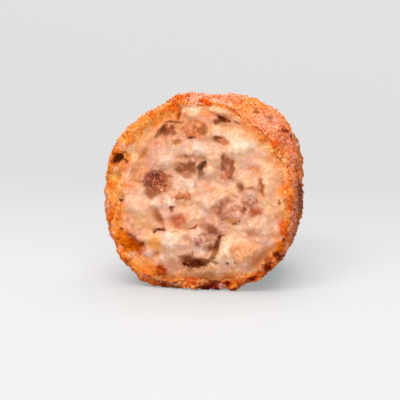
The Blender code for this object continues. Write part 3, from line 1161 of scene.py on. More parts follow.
    Mark(217.5, 122, 10, 5, 12, 140, 74, 36, 0.9, 0.5),
    Mark(228, 120, 7, 3, -12, 150, 76, 26, 0.95, 0.4),
    Mark(237, 122.5, 9, 2.2, -38, 150, 96, 46, 0.9, 0.4),
    Mark(246, 128.5, 13, 1.4, -38, 196, 128, 78, 0.7),
    Mark(202, 158, 12, 4, -15, 206, 146, 92, 0.7, 0.8),
    Mark(200.5, 174, 9, 7, 80, 160, 100, 66, 0.9),
    Mark(204, 178, 5, 4, 0, 190, 128, 96, 0.7),
    Mark(201.5, 167, 12, 8, 50, 128, 72, 40, 1.0, 0.5),
    Mark(203.5, 163.5, 7, 5, 25, 106, 52, 24, 1.0, 0.5),
    Mark(196.3, 162, 3, 5, -35, 240, 196, 164, 0.8, 0.4),
    Mark(206.5, 171, 7, 6, 35, 240, 190, 154, 0.95, 0.4),
    Mark(241, 188, 9, 6, 80, 150, 82, 46, 0.95, 0.7),
    Mark(244, 209, 4, 4, 0, 138, 74, 48, 0.9),
    Mark(235, 224, 4, 2.5, 0, 126, 66, 28, 0.95, 0.4),
    Mark(240, 221, 5, 1.5, 70, 150, 80, 32),
    Mark(159.5, 218, 20, 6, -66, 188, 118, 60, 0.9, 0.8),
    Mark(154.8, 231, 5, 2.4, 70, 130, 66, 16, 1.0, 0.35),
    Mark(160.5, 229, 12, 2.4, -8, 130, 68, 18, 1.0, 0.4),
    Mark(171.5, 207, 6, 4.5, 25, 146, 80, 48, 1.0, 0.4),
    Mark(171, 210.5, 2.4, 4, 0, 156, 90, 60, 0.9),
    Mark(168.5, 201.5, 6, 4, -30, 255, 222, 196, 0.95, 0.5),
    Mark(193.5, 227, 10, 2.2, 22, 150, 78, 42, 0.95, 0.4),
    Mark(219.5, 237, 8, 5.5, 60, 130, 62, 22, 1.0, 0.5),
    Mark(216.5, 245, 12, 4.5, 72, 146, 76, 30, 0.9, 0.7),
    Mark(213, 255, 11, 4.5, 65, 156, 96, 40, 0.95, 0.6),
    Mark(187, 259, 16, 8, -6, 162, 92, 60, 0.9, 0.6),
    Mark(190, 269, 7, 5, 0, 150, 98, 64, 0.8),
    Mark(193.5, 262, 25, 9, 2, 132, 58, 22, 0.95, 0.5),
    Mark(197, 265, 18, 3.6, 4, 116, 42, 8, 1.0, 0.5),
    Mark(207, 261, 11, 4.5, 10, 146, 76, 24, 0.95),
    Mark(214, 262.5, 6, 2.5, 0, 150, 96, 40),
    Mark(227.5, 264, 4, 2.5, -20, 88, 48, 20, 1.0, 0.35),
    Mark(235.5, 262, 3, 1.6, 0, 146, 92, 60, 0.9),
    Mark(132, 244, 28, 15, -30, 204, 92, 0, 1.0, 0.5),
    Mark(136, 245, 14, 7, -15, 178, 76, 0, 0.8),
    Mark(122, 234, 14, 12, -45, 234, 114, 6, 0.9),
    Mark(126, 248, 12, 8, -40, 218, 106, 8, 0.9),
    Mark(131, 236, 10, 3, -35, 176, 114, 76),
    Mark(142, 244, 6, 5, 0, 150, 72, 14, 1.0, 0.5),
    Mark(262, 140, 8, 5, 0, 204, 108, 30, 0.9, 0.7),
    Mark(265.5, 139.5, 3, 2, 20, 146, 74, 14, 0.95),
)

RIM_MARKS = (
    # the top
    Mark(186, 97, 14, 9, 0, 244, 150, 92, 0.6),
    Mark(189, 96, 8, 5, 0, 214, 88, 26, 1.0, 0.4),
    Mark(179, 98, 9, 9, 0, 240, 118, 36, 1.0, 0.4),
    Mark(195, 101, 12, 12, 0, 250, 182, 142, 0.9),
    Mark(203, 95, 7, 4, 0, 222, 160, 136, 0.7),
    Mark(213, 95, 7, 5, 0, 246, 166, 92),
    Mark(206, 102, 16, 6, -12, 236, 92, 14, 1.0, 0.4),
    Mark(200.5, 101.5, 4, 3, 0, 150, 44, 12, 0.9),
    Mark(209, 105.5, 3, 5, 0, 230, 104, 36),
    # the torn flap, with painted shade along its step and under it
    Mark(155, 115, 34, 9, 18, 250, 146, 62),
    Mark(153, 115.5, 6, 7, 0, 232, 108, 28),
    Mark(163, 111.5, 9, 4, 10, 228, 106, 36, 0.7),
    Mark(173, 107, 13, 9, 15, 232, 104, 22, 0.9),
    Mark(168, 116, 12, 6, 5, 252, 158, 78),
    Mark(178, 113.5, 12, 5, 75, 214, 96, 6, 0.95, 0.4),
    Mark(179.5, 114, 15, 1.8, 68, 150, 70, 14, 0.75, 0.4),
    Mark(170, 121.3, 13, 2, 5, 150, 78, 32, 0.9, 0.4),
    Mark(145, 120, 10, 5, 20, 252, 146, 56, 0.7),
    Mark(141, 125, 8, 6, 30, 242, 140, 72, 0.6),
    Mark(149, 123, 8, 5, 0, 253, 182, 112, 0.7),
    Mark(157, 122.5, 10, 5, 10, 250, 150, 66, 0.7),
    Mark(136, 132, 14, 8, 40, 252, 160, 84, 0.6),
    Mark(131, 139, 9, 8, 40, 250, 122, 40),
    Mark(127, 146, 5, 5, 0, 246, 124, 44),
    Mark(121, 146, 7, 9, 60, 246, 156, 114),
    Mark(139, 146, 12, 8, 40, 252, 178, 112, 0.6),
    # the left side
    Mark(118, 214, 16, 28, 0, 255, 158, 66, 0.75),
    Mark(118, 151.5, 8, 4, 0, 236, 116, 42, 0.95),
    Mark(127.5, 158, 11, 4.5, 80, 244, 134, 36, 0.9),
    Mark(120.5, 168, 5, 7, 0, 238, 144, 30, 0.9),
    Mark(116, 169, 5, 5, 0, 248, 188, 160),
    Mark(119, 177, 5, 9, 0, 226, 130, 34),
    Mark(111, 187, 5, 12, 0, 248, 124, 36),
    Mark(126.5, 185.5, 11, 4, 0, 234, 136, 62),
    Mark(113, 196, 9, 14, 0, 252, 150, 66, 0.6),
    Mark(106.5, 202, 6, 28, 0, 252, 190, 150, 0.6),
    Mark(122.5, 197, 4, 5, 0, 206, 142, 70, 0.8, 0.7),
    Mark(121, 200.7, 3.6, 3.4, 0, 104, 44, 10, 1.0, 0.4),
    Mark(111, 213, 8, 9, 0, 244, 114, 18, 0.9),
    Mark(110.5, 220, 4, 9, 0, 216, 98, 6, 0.9),
    Mark(118.5, 217, 6, 9, 0, 248, 134, 56),
    Mark(113, 225, 8, 5, 0, 246, 162, 98),
    Mark(124.5, 216, 28, 4, 85, 240, 166, 126, 0.7),
    Mark(127.3, 219, 2.5, 3.5, 0, 192, 150, 116),
    Mark(121.5, 228.3, 4, 3.5, 0, 132, 66, 30, 1.0, 0.4),
    Mark(110, 234, 6, 7, 0, 252, 188, 154),
    Mark(118, 239, 3, 3, 0, 164, 62, 10, 0.9),
    Mark(122.5, 245, 4, 2.5, -30, 150, 54, 12, 0.9),
    Mark(119, 248, 6, 5, -50, 250, 168, 116, 0.8),
    # the lower left and the bottom, with painted shade on the crust's underside
    Mark(133, 256, 11, 7, -40, 255, 180, 128, 0.85),
    Mark(141, 262, 9, 5, -30, 255, 176, 112, 0.7),
    Mark(134, 263, 14, 8, -35, 252, 156, 78, 0.7),
    Mark(150, 270, 20, 12, -20, 238, 132, 36, 0.7),
    Mark(146, 264, 8, 5, 0, 252, 160, 80, 0.7),
    Mark(161, 270, 11, 14, 0, 182, 64, 2, 0.95),
    Mark(150, 278, 14, 7, -15, 190, 92, 44, 0.8),
    Mark(144, 275, 7, 4, -30, 198, 118, 104, 0.7),
    Mark(170, 277, 8, 8, 0, 196, 110, 60, 0.7),
    Mark(165, 284, 14, 7, -10, 140, 46, 12, 1.0),
    Mark(176, 285, 15, 6, -4, 140, 78, 56),
    Mark(190, 282, 22, 10, -5, 248, 132, 56, 0.9, 0.4),
    Mark(194, 283.5, 7, 6, 0, 204, 72, 8, 0.9),
    Mark(181, 283.5, 6, 5, 0, 252, 178, 112),
    Mark(199, 283, 8, 8, 0, 250, 146, 84, 0.7),
    Mark(203, 288, 12, 4.5, 0, 112, 28, 2, 1.0),
    Mark(215, 282, 14, 3, 0, 150, 54, 8, 0.9),
    Mark(214, 286, 24, 7, 0, 126, 38, 24, 1.0, 0.4),
    Mark(222, 286.5, 6, 6, 0, 246, 170, 140, 1.0, 0.4),
    Mark(220, 279, 8, 3.5, 0, 206, 112, 46),
    # the lower right, with painted shade under the crust and in its crevices
    Mark(227, 283, 11, 5, -5, 136, 22, 0, 1.0, 0.4),
    Mark(236, 281.5, 12, 6, 5, 226, 102, 26, 0.9),
    Mark(246, 280.5, 10, 5, 10, 234, 136, 80),
    Mark(252.5, 278.5, 13, 5, 15, 124, 28, 10, 1.0, 0.4),
    Mark(258, 273, 10, 6, 30, 198, 84, 24),
    Mark(262, 269, 7, 5, 20, 248, 170, 120),
    Mark(267.5, 266, 12, 8, 40, 134, 28, 2, 1.0, 0.4),
    Mark(272.5, 259, 6, 7, 0, 206, 84, 20, 0.8),
    Mark(271.5, 270, 6, 5, -30, 76, 50, 36, 0.9, 0.7),
    Mark(277, 253.5, 11, 8, 40, 118, 28, 4, 1.0, 0.4),
    Mark(280.5, 258, 11, 5, 35, 70, 44, 34, 0.9, 0.7),
    Mark(280.5, 247, 9, 10, 0, 214, 112, 18, 0.9),
    Mark(287, 246, 5, 9, 0, 248, 160, 112),
    Mark(276, 236, 8, 8, 0, 208, 128, 74, 0.7),
    Mark(268, 260, 8, 8, 0, 168, 68, 16, 0.7),
    Mark(284, 236, 9, 10, 0, 234, 122, 42),
    Mark(281, 238, 4.5, 4.5, 0, 252, 180, 140),
    Mark(283.5, 239.5, 3, 3, 0, 126, 34, 12, 1.0),
    Mark(283.5, 228, 9, 12, 0, 226, 104, 26, 0.9),
    Mark(291, 234, 6, 12, 0, 238, 150, 118),
    # the right side
    Mark(285, 212, 14, 8, 0, 255, 178, 98),
    Mark(290, 204, 5, 22, 0, 246, 116, 40),
    Mark(284, 190, 12, 14, 0, 252, 146, 62),
    Mark(283, 204, 12, 5, 88, 254, 192, 120),
    Mark(279.5, 202, 6.5, 2.6, 80, 150, 92, 20, 0.9, 0.6),
    Mark(275.5, 217, 4, 4, 0, 238, 134, 34),
    Mark(285, 166, 28, 11, -80, 254, 174, 108),
    Mark(282, 137, 30, 9, -52, 240, 128, 60, 0.6),
    Mark(270, 137, 14, 8, -60, 248, 142, 56),
    Mark(276, 144, 9, 7, -30, 252, 104, 30, 0.95, 0.4),
    Mark(283, 153, 6, 7, 0, 248, 124, 54),
    Mark(260, 131, 9, 4, -20, 244, 134, 64),
    # the outside, with a band of painted shade along the right side
    Mark(228, 98, 34, 10, -10, 236, 140, 98, 0.5),
    Mark(262, 115, 60, 34, -40, 248, 150, 106, 0.5),
    Mark(293, 166, 80, 11, -80, 250, 144, 92, 0.8),
    Mark(301, 196, 66, 8.5, -87, 112, 60, 46, 0.9, 0.9),
    Mark(299, 222, 56, 9, 79, 140, 86, 68, 0.6, 0.9),
    Mark(294, 214, 26, 6, 82, 234, 142, 112, 0.7),
    Mark(231.5, 99.5, 4, 2.5, 0, 178, 92, 60),
    Mark(240.5, 103, 5, 3, -30, 186, 92, 58),
    Mark(254, 108.3, 3, 2, 0, 180, 84, 24),
    Mark(255.5, 111, 3.5, 5, 0, 184, 88, 26, 0.95),
    Mark(254.3, 114.3, 2, 2, 0, 150, 60, 20),
    Mark(258, 113, 2.5, 3, 0, 160, 66, 24),
    Mark(270, 118, 4, 4, 0, 186, 100, 44),
    Mark(266, 108, 5, 3, 0, 236, 128, 50),
    Mark(281, 126.5, 6, 4, -50, 245, 124, 54),
    Mark(286, 131, 10, 3.5, -25, 142, 38, 0, 1.0),
    Mark(292, 136.5, 7, 4, -50, 120, 52, 30, 0.9),
)

CLUMPS = (
    Lump("bottom", -0.8, -13.5, 3.6, 1.9, 1.0, 0.0, 0),
    Lump("bottom_left", -6.9, -12.5, 2.8, 2.0, 0.9, 0.0, 10),
    Lump("bottom_right", 6.4, -12.6, 2.6, 1.6, 0.8, 0.0, 15),
    Lump("low_right", 10.6, -10.2, 2.6, 2.2, 0.8, 0.0, 45),
    Lump("right", 13.4, -4.6, 1.8, 3.0, 0.6, 0.0, 10),
    Lump("right_upper", 13.6, 1.4, 1.5, 2.8, 0.5, 0.0, 0),
    Lump("top_left", -2.9, 15.0, 2.6, 1.4, 0.6, 0.0, 0),
    Lump("left", -13.6, -2.6, 1.7, 3.0, 0.6, 0.0, 0),
    Lump("low_left", -12.2, -9.6, 2.2, 2.2, 0.6, 0.0, 30),
)


@dataclass(frozen=True)
class CutFace:
    """The relief and colours that crust and filling share on the cut."""

    cream: Colour = paint(240, 186, 152)
    rosy: Colour = paint(236, 176, 146)
    yellow: Colour = paint(246, 194, 146)
    oil: Colour = paint(240, 150, 86)
    # Painted shade and highlight: crease darkens the texture's creases, shadow its dips, glint lightens
    # its ridges.
    crease: Colour = (0.80, 0.52, 0.28)
    shadow: Colour = (0.74, 0.46, 0.20)
    glint: Colour = (1.05, 1.30, 1.68)
    dark_speck: Colour = (0.34, 0.20, 0.18)
    pale_speck: Colour = (1.6, 2.0, 2.3)
    tone: Colour = (0.97, 0.96, 0.95)
    burnt_core: Colour = paint(96, 38, 8)
    burnt_edge: Colour = paint(190, 84, 18)
    torn: tuple[tuple[float, float], ...] = ((0.23, 1.8 * MM), (0.12, 0.9 * MM))
    grainy: tuple[tuple[float, float], ...] = ((0.05, 0.48 * MM), (0.01, 0.24 * MM))
    lap_size: float = 1.2 * MM
    uneven: float = 0.6
    uneven_size: float = 1.1 * MM
    ragged_size: float = 0.4 * MM
    drift: float = 1.8
    drift_size: float = 1.1 * MM
    jitter: float = 1.4
    jitter_size: float = 0.36 * MM
    speck_size: float = 0.26 * MM
    grain_size: float = 0.32 * MM
    patch_size: float = 3.0 * MM
    soak_drift: float = 1.3 * MM
    soak_size: float = 1.9 * MM
    soak: float = 0.7
    soaked: tuple[Band, ...] = (
        Band(135, 35, 1.5),
        Band(190, 30, 1.1),
        Band(232, 28, 0.9),
        Band(0, 30, 0.8),
    )

    def relief(self, x: np.ndarray, z: np.ndarray) -> tuple[np.ndarray, np.ndarray]:
        """Depth of the cut filling with its torn texture.

        Args:
            x: Places right of the axis, in metres.
            z: Places above the axis, in metres.

        Returns:
            The depth behind the cut's plane, in metres, and how deep each place lies in a crease
            of the texture, about -1 to 1.
        """
        flat = plane(x, 0.02, z)
        fine = -layered(flat, self.torn) - layered(flat, self.grainy)
        depth = SHAPE.face(x, z) + fine * MM
        right, down = self.ragged(SHAPE.places(x, np.zeros_like(x), z), 0.0)
        for form in (*FOLDS, *LEDGES):
            depth -= form.rise(right, down)
        for hollow in HOLLOWS:
            away = self.warped(hollow, x, z)
            depth += hollow.depth * MM * np.clip(1 - away**2, 0, 1) ** (hollow.sink + 0.5)
        lap = 0.60 + 0.6 * roughness_at(flat, self.lap_size, 7.0)
        for morsel in MORSELS:
            proud = max(0.0, morsel.depth / 2 - morsel.sink) * MM
            share = 0.3 if morsel.name in DARK_MEAT else 1.0
            away = self.warped(morsel, x, z, 0.0)
            depth -= share * lap * proud * smooth((2.0 - away) / 1.2)
        return depth, fine / 0.25

    def warped(
        self, lump: Lump, x: np.ndarray, z: np.ndarray, ragged: float = 0.45
    ) -> np.ndarray:
        """A lump's outline share, with the outline made uneven.

        Args:
            lump: The lump.
            x: Places right of the axis, in metres.
            z: Places above the axis, in metres.
            ragged: Strength of the finer unevenness.

        Returns:
            About 0 in the middle, 1 on the outline.
        """
        near = lump.share(x, z)
        close = near < 2.4
        flat = plane(x, 0.05, z)[close]
        uneven = np.zeros_like(x)
        uneven[close] = self.uneven * roughness_at(flat, self.uneven_size, lump.x)
        if ragged:
            uneven[close] += ragged * roughness_at(flat, self.ragged_size, lump.z)
        return near * (1 + uneven)

    def ragged(self, points: np.ndarray, share: float = 1.0) -> tuple[np.ndarray, np.ndarray]:
        """Where the photograph shows places, moved a little at random for ragged outlines.

        Args:
            points: Places, one row each, in metres.
            share: How much of the finer movement they get.

        Returns:
            Pixels from the photograph's left side and from its top.
        """
        right, down = VIEW.pixels(points)
        flat = points * np.array([1.0, 0.3, 1.0])
        fine = share * self.jitter
        right += self.drift * roughness_at(flat, self.drift_size)
        right += fine * roughness_at(flat, self.jitter_size)
        down += self.drift * roughness_at(flat, self.drift_size, 9.0)
        return right, down + fine * roughness_at(flat, self.jitter_size, 4.0)

    def marked(
        self, base: np.ndarray, points: np.ndarray, marks: Iterable[Mark], share: np.ndarray
    ) -> np.ndarray:
        """Lays marks over colours.

        Args:
            base: Colours, one row each.
            points: Their places, in metres.
            marks: The marks, lowest first.
            share: How strongly each place takes them.

        Returns:
            The new colours.
        """
        right, down = self.ragged(points)
        for mark in marks:
            base = mixed(base, mark.colour, mark.share(right, down) * share)
        return base

    def ground(self, points: np.ndarray) -> np.ndarray:
        """The cream's own colours, oily near the crust, before any marks.

        Args:
            points: Places, one row each, in metres.

        Returns:
            One linear colour a row.
        """
        x, z = SHAPE.on_cut(points)
        angle = np.arctan2(z, x)
        wall = SHAPE.section(angle, np.zeros_like(x)) - SHAPE.thickness(angle)
        drift = self.soak_drift * roughness_at(points, self.soak_size, 5.0)
        inside = wall - np.hypot(x, z) + drift
        soak = self.soak
        for band in self.soaked:
            soak = soak + band.extra * bump(angle, band.angle, band.spread)
        base = plain(self.cream, len(x))
        broad = roughness_at(points, self.patch_size, 2.0)
        base = mixed(base, self.rosy, smooth(broad * 3 + 0.2) * 0.8)
        base = mixed(base, self.yellow, smooth(-broad * 3 + 0.2) * 0.7)
        return mixed(base, self.oil, np.exp(-np.maximum(inside, 0) / (soak * MM)) * 0.95)

    def colours(self, points: np.ndarray, creases: np.ndarray) -> np.ndarray:
        """Colours of the cut face at places on it.

        Args:
            points: The places, in metres.
            creases: How deep each place lies in a crease, about -1 to 1.

        Returns:
            One linear colour a row.
        """
        x, z = SHAPE.on_cut(points)
        base = self.ground(points)
        right, down = self.ragged(points, 0.3)
        for form in FOLDS:
            if form.lift < 0:
                base = varied(base, self.shadow, form.rise(right, down) / -MM * 0.5)
        for morsel in MORSELS:
            away = self.warped(morsel, x, z)
            base = mixed(base, MEAT_LOOKS[morsel.name].halo, smooth(2.0 - 1.3 * away) * 0.6)
        every = np.ones(len(points))
        base = self.marked(base, points, (*CUT_MARKS, *RIM_MARKS), every)
        specks = roughness_at(points, self.speck_size, 2.0)
        for morsel in MORSELS:
            if morsel.name in DARK_MEAT:
                near = smooth(3.0 - 2.4 * self.warped(morsel, x, z)) * 0.5
                base = speckled(base, specks, (self.dark_speck, near), (self.pale_speck, near))
        # Painted shade in the creases of the torn texture and painted highlight on its ridges.
        base = speckled(base, creases, (self.crease, 0.38), (self.glint, 0.42), 1.3, 0.0)
        grain = roughness_at(points, self.grain_size, 3.0)
        # The same factors also darken and lighten the random grain.
        base = speckled(base, grain, (self.crease, 0.28), (self.glint, 0.40), start=0.4)
        return base * np.array(self.tone)


CUT = CutFace()


@dataclass
class CrustSkin:
    """The crust's vertices and their looks, ring by ring."""

    rings: list[tuple[np.ndarray, ...]] = field(default_factory=list)

    def add(
        self,
        places: tuple[np.ndarray, np.ndarray, np.ndarray],
        across: float,
        cover: float | np.ndarray,
    ) -> None:
        """Adds a ring: places with creases and tones, way across the edge, cover of crumbs."""
        blank = np.zeros(len(places[0]))
        self.rings.append((*places, blank + across, blank + cover))

    def joined(self) -> tuple[np.ndarray, ...]:
        """The places, creases, tones, ways across the edge and crumb covers of all vertices."""
        return tuple(np.concatenate(part) for part in zip(*self.rings))


@dataclass
class Crust:
    """The fried crust: its craggy outside, the cut edge and the wall inside."""

    columns: int = 520
    rings: int = 140
    edge_rings: int = 26
    inner_rings: int = 8
    lip: float = 0.55 * MM
    frayed: float = 0.70 * MM
    frayed_size: float = 1.5 * MM
    skin_crags: tuple[float, float] = (0.26, 0.10)
    edge_crags: tuple[float, float] = (0.46, 0.22)
    crag_size: float = 1.2 * MM
    crumb_size: float = 0.5 * MM
    grain_size: float = 0.30 * MM
    dent_reach: float = 22.0 * MM
    warp: float = 0.5 * MM
    warp_size: float = 0.9 * MM
    patch_size: float = 5.0 * MM
    fleck_size: float = 1.4 * MM
    bare: float = 0.04 * MM
    sparse: float = 0.2 * MM
    dents: tuple[Band, ...] = (
        Band(89.0, 9.0, 0.70 * MM),
        Band(103.0, 6.0, -0.40 * MM),
        Band(195.0, 9.0, -0.40 * MM),
        Band(128.0, 17.0, 0.50 * MM),
        Band(247.0, 10.0, -0.40 * MM),
        Band(294.0, 10.0, 0.35 * MM),
        Band(-36.0, 12.0, 0.55 * MM),
        Band(-13.0, 16.0, 0.75 * MM),
        Band(30.0, 9.0, 0.35 * MM),
    )
    finish: CrumbFinish = CrumbFinish("fried_crumb", (0.54, 0.25, 0.08), (1.06, 1.38, 1.90))
    golden: Colour = paint(255, 160, 80)
    salmon: Colour = paint(255, 180, 138)
    brown: Colour = paint(216, 92, 30)
    deep: Colour = (0.60, 0.30, 0.10)
    bright: Colour = (1.12, 1.60, 2.40)
    shade: Colour = paint(178, 94, 56)
    fried: Colour = paint(255, 150, 54)
    pale: Colour = paint(255, 200, 124)
    rust: Colour = paint(232, 98, 10)

    def crags(
        self, points: np.ndarray, coarse: float, fine: float
    ) -> tuple[np.ndarray, np.ndarray]:
        """Coarse and fine crumbs packed on the crust.

        Args:
            points: Places, one row each, in metres.
            coarse: Height of the coarse ones, in millimetres.
            fine: Height of the fine ones, in millimetres.

        Returns:
            How far they stand out, in millimetres, and the tone of each coarse one.
        """
        warped = points + (self.warp * roughness_at(points, self.warp_size))[:, None]
        large, tone = nodules_at(warped, self.crag_size)
        small, grain = nodules_at(warped + 0.01, self.crumb_size)
        height = coarse * (large * (0.3 + tone) - 0.5) + fine * (small * (0.4 + grain) - 0.5)
        return height, tone

    @staticmethod
    def loose(angle: np.ndarray) -> np.ndarray:
        """1 where the crust's cut edge is loosest, at the bottom and at the lower right."""
        return np.maximum(bump(angle, 285, 48), bump(angle, -25, 30))

    def outside(
        self, angle: np.ndarray, share: np.ndarray
    ) -> tuple[np.ndarray, np.ndarray, np.ndarray]:
        """Places on the craggy outside.

        Args:
            angle: Angles from +X, in radians.
            share: Share of the length, 0 at the cut and 1 at the closed end.

        Returns:
            The places, how deep they lie in a crease, and their lump's tone.
        """
        points = SHAPE.surface(angle, share, None)
        low = smooth(points[:, 2] / SHAPE.settle_height)
        out = around(angle) * np.sqrt(np.clip(1 - share**4, 0, 1))[:, None]
        out[:, 1] = share**4
        fine, tone = self.crags(points, *self.skin_crags)
        relief = SHAPE.crumb_relief(points) + fine * MM
        near = 1 - smooth((points[:, 1] - SHAPE.face_y) / self.dent_reach)
        relief -= near * sum(dent.extra * bump(angle, dent.angle, dent.spread) for dent in self.dents)
        points = SHAPE.settled(points + out * (low * relief)[:, None])
        behind = np.maximum(points[:, 1] - SHAPE.face_y, 0) / MM
        near = np.exp(-behind / 1.6) * (1 - smooth(points[:, 2] / (3 * MM)))
        frayed = roughness_at(points * np.array([1.0, 0.0, 0.0]), self.frayed_size, 3.0)
        near *= 0.3 + 0.7 * bump(angle, 300, 32)
        points[:, 2] += self.frayed * near * smooth(frayed * 2 + 0.5)
        return points, -fine / 0.2, tone

    def edge(
        self, angle: np.ndarray, across: float
    ) -> tuple[np.ndarray, np.ndarray, np.ndarray]:
        """Places on the cut edge of the crust.

        Args:
            angle: Angles from +X, in radians.
            across: 0 at the outside and 1 at the filling.

        Returns:
            The places, how deep they lie in a crease, and their lump's tone.
        """
        outer = self.outside(angle, np.zeros_like(angle))[0]
        inner = SHAPE.surface(angle, np.zeros_like(angle), 0.0)
        points = outer * (1 - across) + inner * across
        x, z = SHAPE.on_cut(points)
        fine, tone = self.crags(points, *self.edge_crags)
        fine = fine * (0.5 + 0.5 * self.loose(angle)) * (1 - 0.5 * across)
        soft = float(smooth(np.array(across * 1.6 - 0.6)))
        filling, filling_crease = CUT.relief(x, z)
        depth = (SHAPE.tear(x, z) - fine * MM) * (1 - soft) + filling * soft
        for lump in (*CLUMPS, BURNT):
            away = CUT.warped(lump, x, z)
            depth -= lump.depth * MM * np.sqrt(np.clip(1 - away**2, 0, 1))
        corner = min(1.0, max(0.0, 1 - across * 4))
        depth += self.lip * (1 - math.sqrt(1 - corner**2))
        points[:, 1] = SHAPE.face_y + depth
        return points, -fine / 0.3 * (1 - soft) + filling_crease * soft, tone

    def skin_colours(
        self, points: np.ndarray, broad: np.ndarray, fine: np.ndarray, low: np.ndarray
    ) -> np.ndarray:
        """Colours of the fried skin: golden, rosier at the top, browner below, darker at the right.

        Args:
            points: Places, one row each, in metres.
            broad: A pattern of broad patches.
            fine: A pattern of small patches.
            low: How far down each place lies, 0 to 1.

        Returns:
            One linear colour a row.
        """
        x, z = SHAPE.on_cut(points)
        behind = (points[:, 1] - SHAPE.face_y) / MM
        salmon = smooth(broad * 1.6 + 0.5) * (0.3 + 0.7 * bump(np.arctan2(z, x), 65, 60))
        base = mixed(plain(self.golden, len(x)), self.salmon, salmon)
        base = mixed(base, self.brown, smooth(fine * 2.2 - 0.25) * 0.8)
        base = mixed(base, self.brown, low * 0.7)
        # Darker on the right side behind the cut: painted shade, partly a browner fry.
        right = smooth((x / MM - 9) / 5 + broad) * smooth((behind - 4) / 6)
        return mixed(base, self.shade, right * 0.6)

    def rim_colours(
        self,
        points: np.ndarray,
        across: np.ndarray,
        patches: tuple[np.ndarray, np.ndarray],
        low: np.ndarray,
    ) -> np.ndarray:
        """Colours of the cut edge, from the fried outside to the cream.

        Args:
            points: Places, one row each, in metres.
            across: How far across the edge each place lies.
            patches: Patterns of broad and of small patches.
            low: How far down each place lies, 0 to 1.

        Returns:
            One linear colour a row.
        """
        broad, fine = patches
        fried = smooth(1.5 - across * 1.4 + 1.2 * broad + 0.8 * fine)
        rim = mixed(CUT.ground(points), self.fried, fried)
        rim = mixed(rim, self.pale, smooth(fine * 3 - 0.1) * smooth(across * 2 - 0.1) * 0.7)
        rust = smooth(-fine * 2.4 + 0.1) * smooth(1.2 - across * 1.3)
        return mixed(rim, self.rust, rust * (0.45 + 0.5 * low))

    def colours(self, skin: CrustSkin) -> np.ndarray:
        """Colours of the crust.

        Args:
            skin: Its rings.

        Returns:
            One linear colour a vertex.
        """
        points, crease, tone, across, _ = skin.joined()
        x, z = SHAPE.on_cut(points)
        behind = (points[:, 1] - SHAPE.face_y) / MM
        angle = np.arctan2(z, x)
        broad = roughness_at(points, self.patch_size)
        fine = roughness_at(points, self.fleck_size, 4.0)
        low = smooth((-z / MM - 4) / 9)
        edge = smooth(across * 6)
        base = self.skin_colours(points, broad, fine, low) * (1 - edge)[:, None]
        base += self.rim_colours(points, across, (broad, fine), low) * edge[:, None]
        reach = 6 - 2.5 * bump(angle, 90, 35)
        seen = VIEW.seen(around(angle)) * smooth(2 - behind / reach + (1.1 * broad + 0.9 * fine))
        seen = np.maximum(np.maximum(seen, smooth(1.6 - behind)), edge)
        base = CUT.marked(base, points, CUT_MARKS, seen * smooth(across * 3 - 0.6))
        base = CUT.marked(base, points, RIM_MARKS, seen)
        rough = (self.loose(angle) * 0.6 + 0.4) * (1 - across * 0.6)
        # Painted shade: darker in the creases between the crumbs.
        base = varied(base, self.deep, smooth(crease * 1.2 - 0.1) * 0.5 * rough)
        bright = 1 - 0.85 * smooth(base[:, 1] * 4 - 1.5)
        base = varied(base, self.bright, smooth(tone * 3 - 2) * (1 - across * 0.7) * 0.35 * bright)
        grain = roughness_at(points, self.grain_size, 3.0)
        base = speckled(base, grain, (self.deep, 0.45 * rough), (self.bright, 0.45 * bright))
        away = CUT.warped(BURNT, x, z)
        near = smooth(1 - behind / 4)
        base = mixed(base, CUT.burnt_edge, smooth((1.25 - away) * 3) * near * 0.6)
        return mixed(base, CUT.burnt_core, smooth((0.95 - away) * 2.5) * near)

    def rings_of(self, turn: np.ndarray) -> CrustSkin:
        """All rings, from the closed end over the cut edge to the inside's end.

        Args:
            turn: The angles of a ring's vertices.

        Returns:
            The rings.
        """
        skin = CrustSkin()
        even = np.zeros(self.columns)
        for step in np.linspace(0, 1, self.rings + 1)[1:]:
            share = max(0.0, math.sin(math.pi / 2 * (1 - step)))
            skin.add(self.outside(turn, np.full(self.columns, share)), 0.0, 1.0)
        for step in np.linspace(0, 1, self.edge_rings + 1)[1:]:
            sparse = 2.6 - 1.2 * self.loose(turn)
            skin.add(self.edge(turn, step), step, np.clip(1 - step * sparse, 0, 1))
        for step in np.linspace(0, 1, self.inner_rings + 1)[1:-1]:
            inner = SHAPE.surface(turn, np.full(self.columns, step), 0.0)
            skin.add((inner, even, even), 1.0, 0.0)
        pole = np.zeros(1)
        skin.add(self.outside(pole, np.ones(1)), 0.0, 1.0)
        skin.add((SHAPE.surface(pole, np.ones(1), 0.0), pole, pole), 1.0, 0.0)
        return skin

    def clumped(self, points: np.ndarray, cover: np.ndarray) -> np.ndarray:
        """How thickly clumped crumbs lie on the crust.

        Args:
            points: Places, one row each, in metres.
            cover: How thickly the other crumbs lie there.

        Returns:
            A share from 0 to 1 for each place.
        """
        front = smooth(1.4 - (points[:, 1] - SHAPE.face_y) / MM / 2.5)
        x, z = SHAPE.on_cut(points)
        clumped = 0.10 * cover
        for clump in CLUMPS:
            clumped = np.maximum(clumped, smooth(2.4 - 2 * CUT.warped(clump, x, z)) * front)
        return clumped

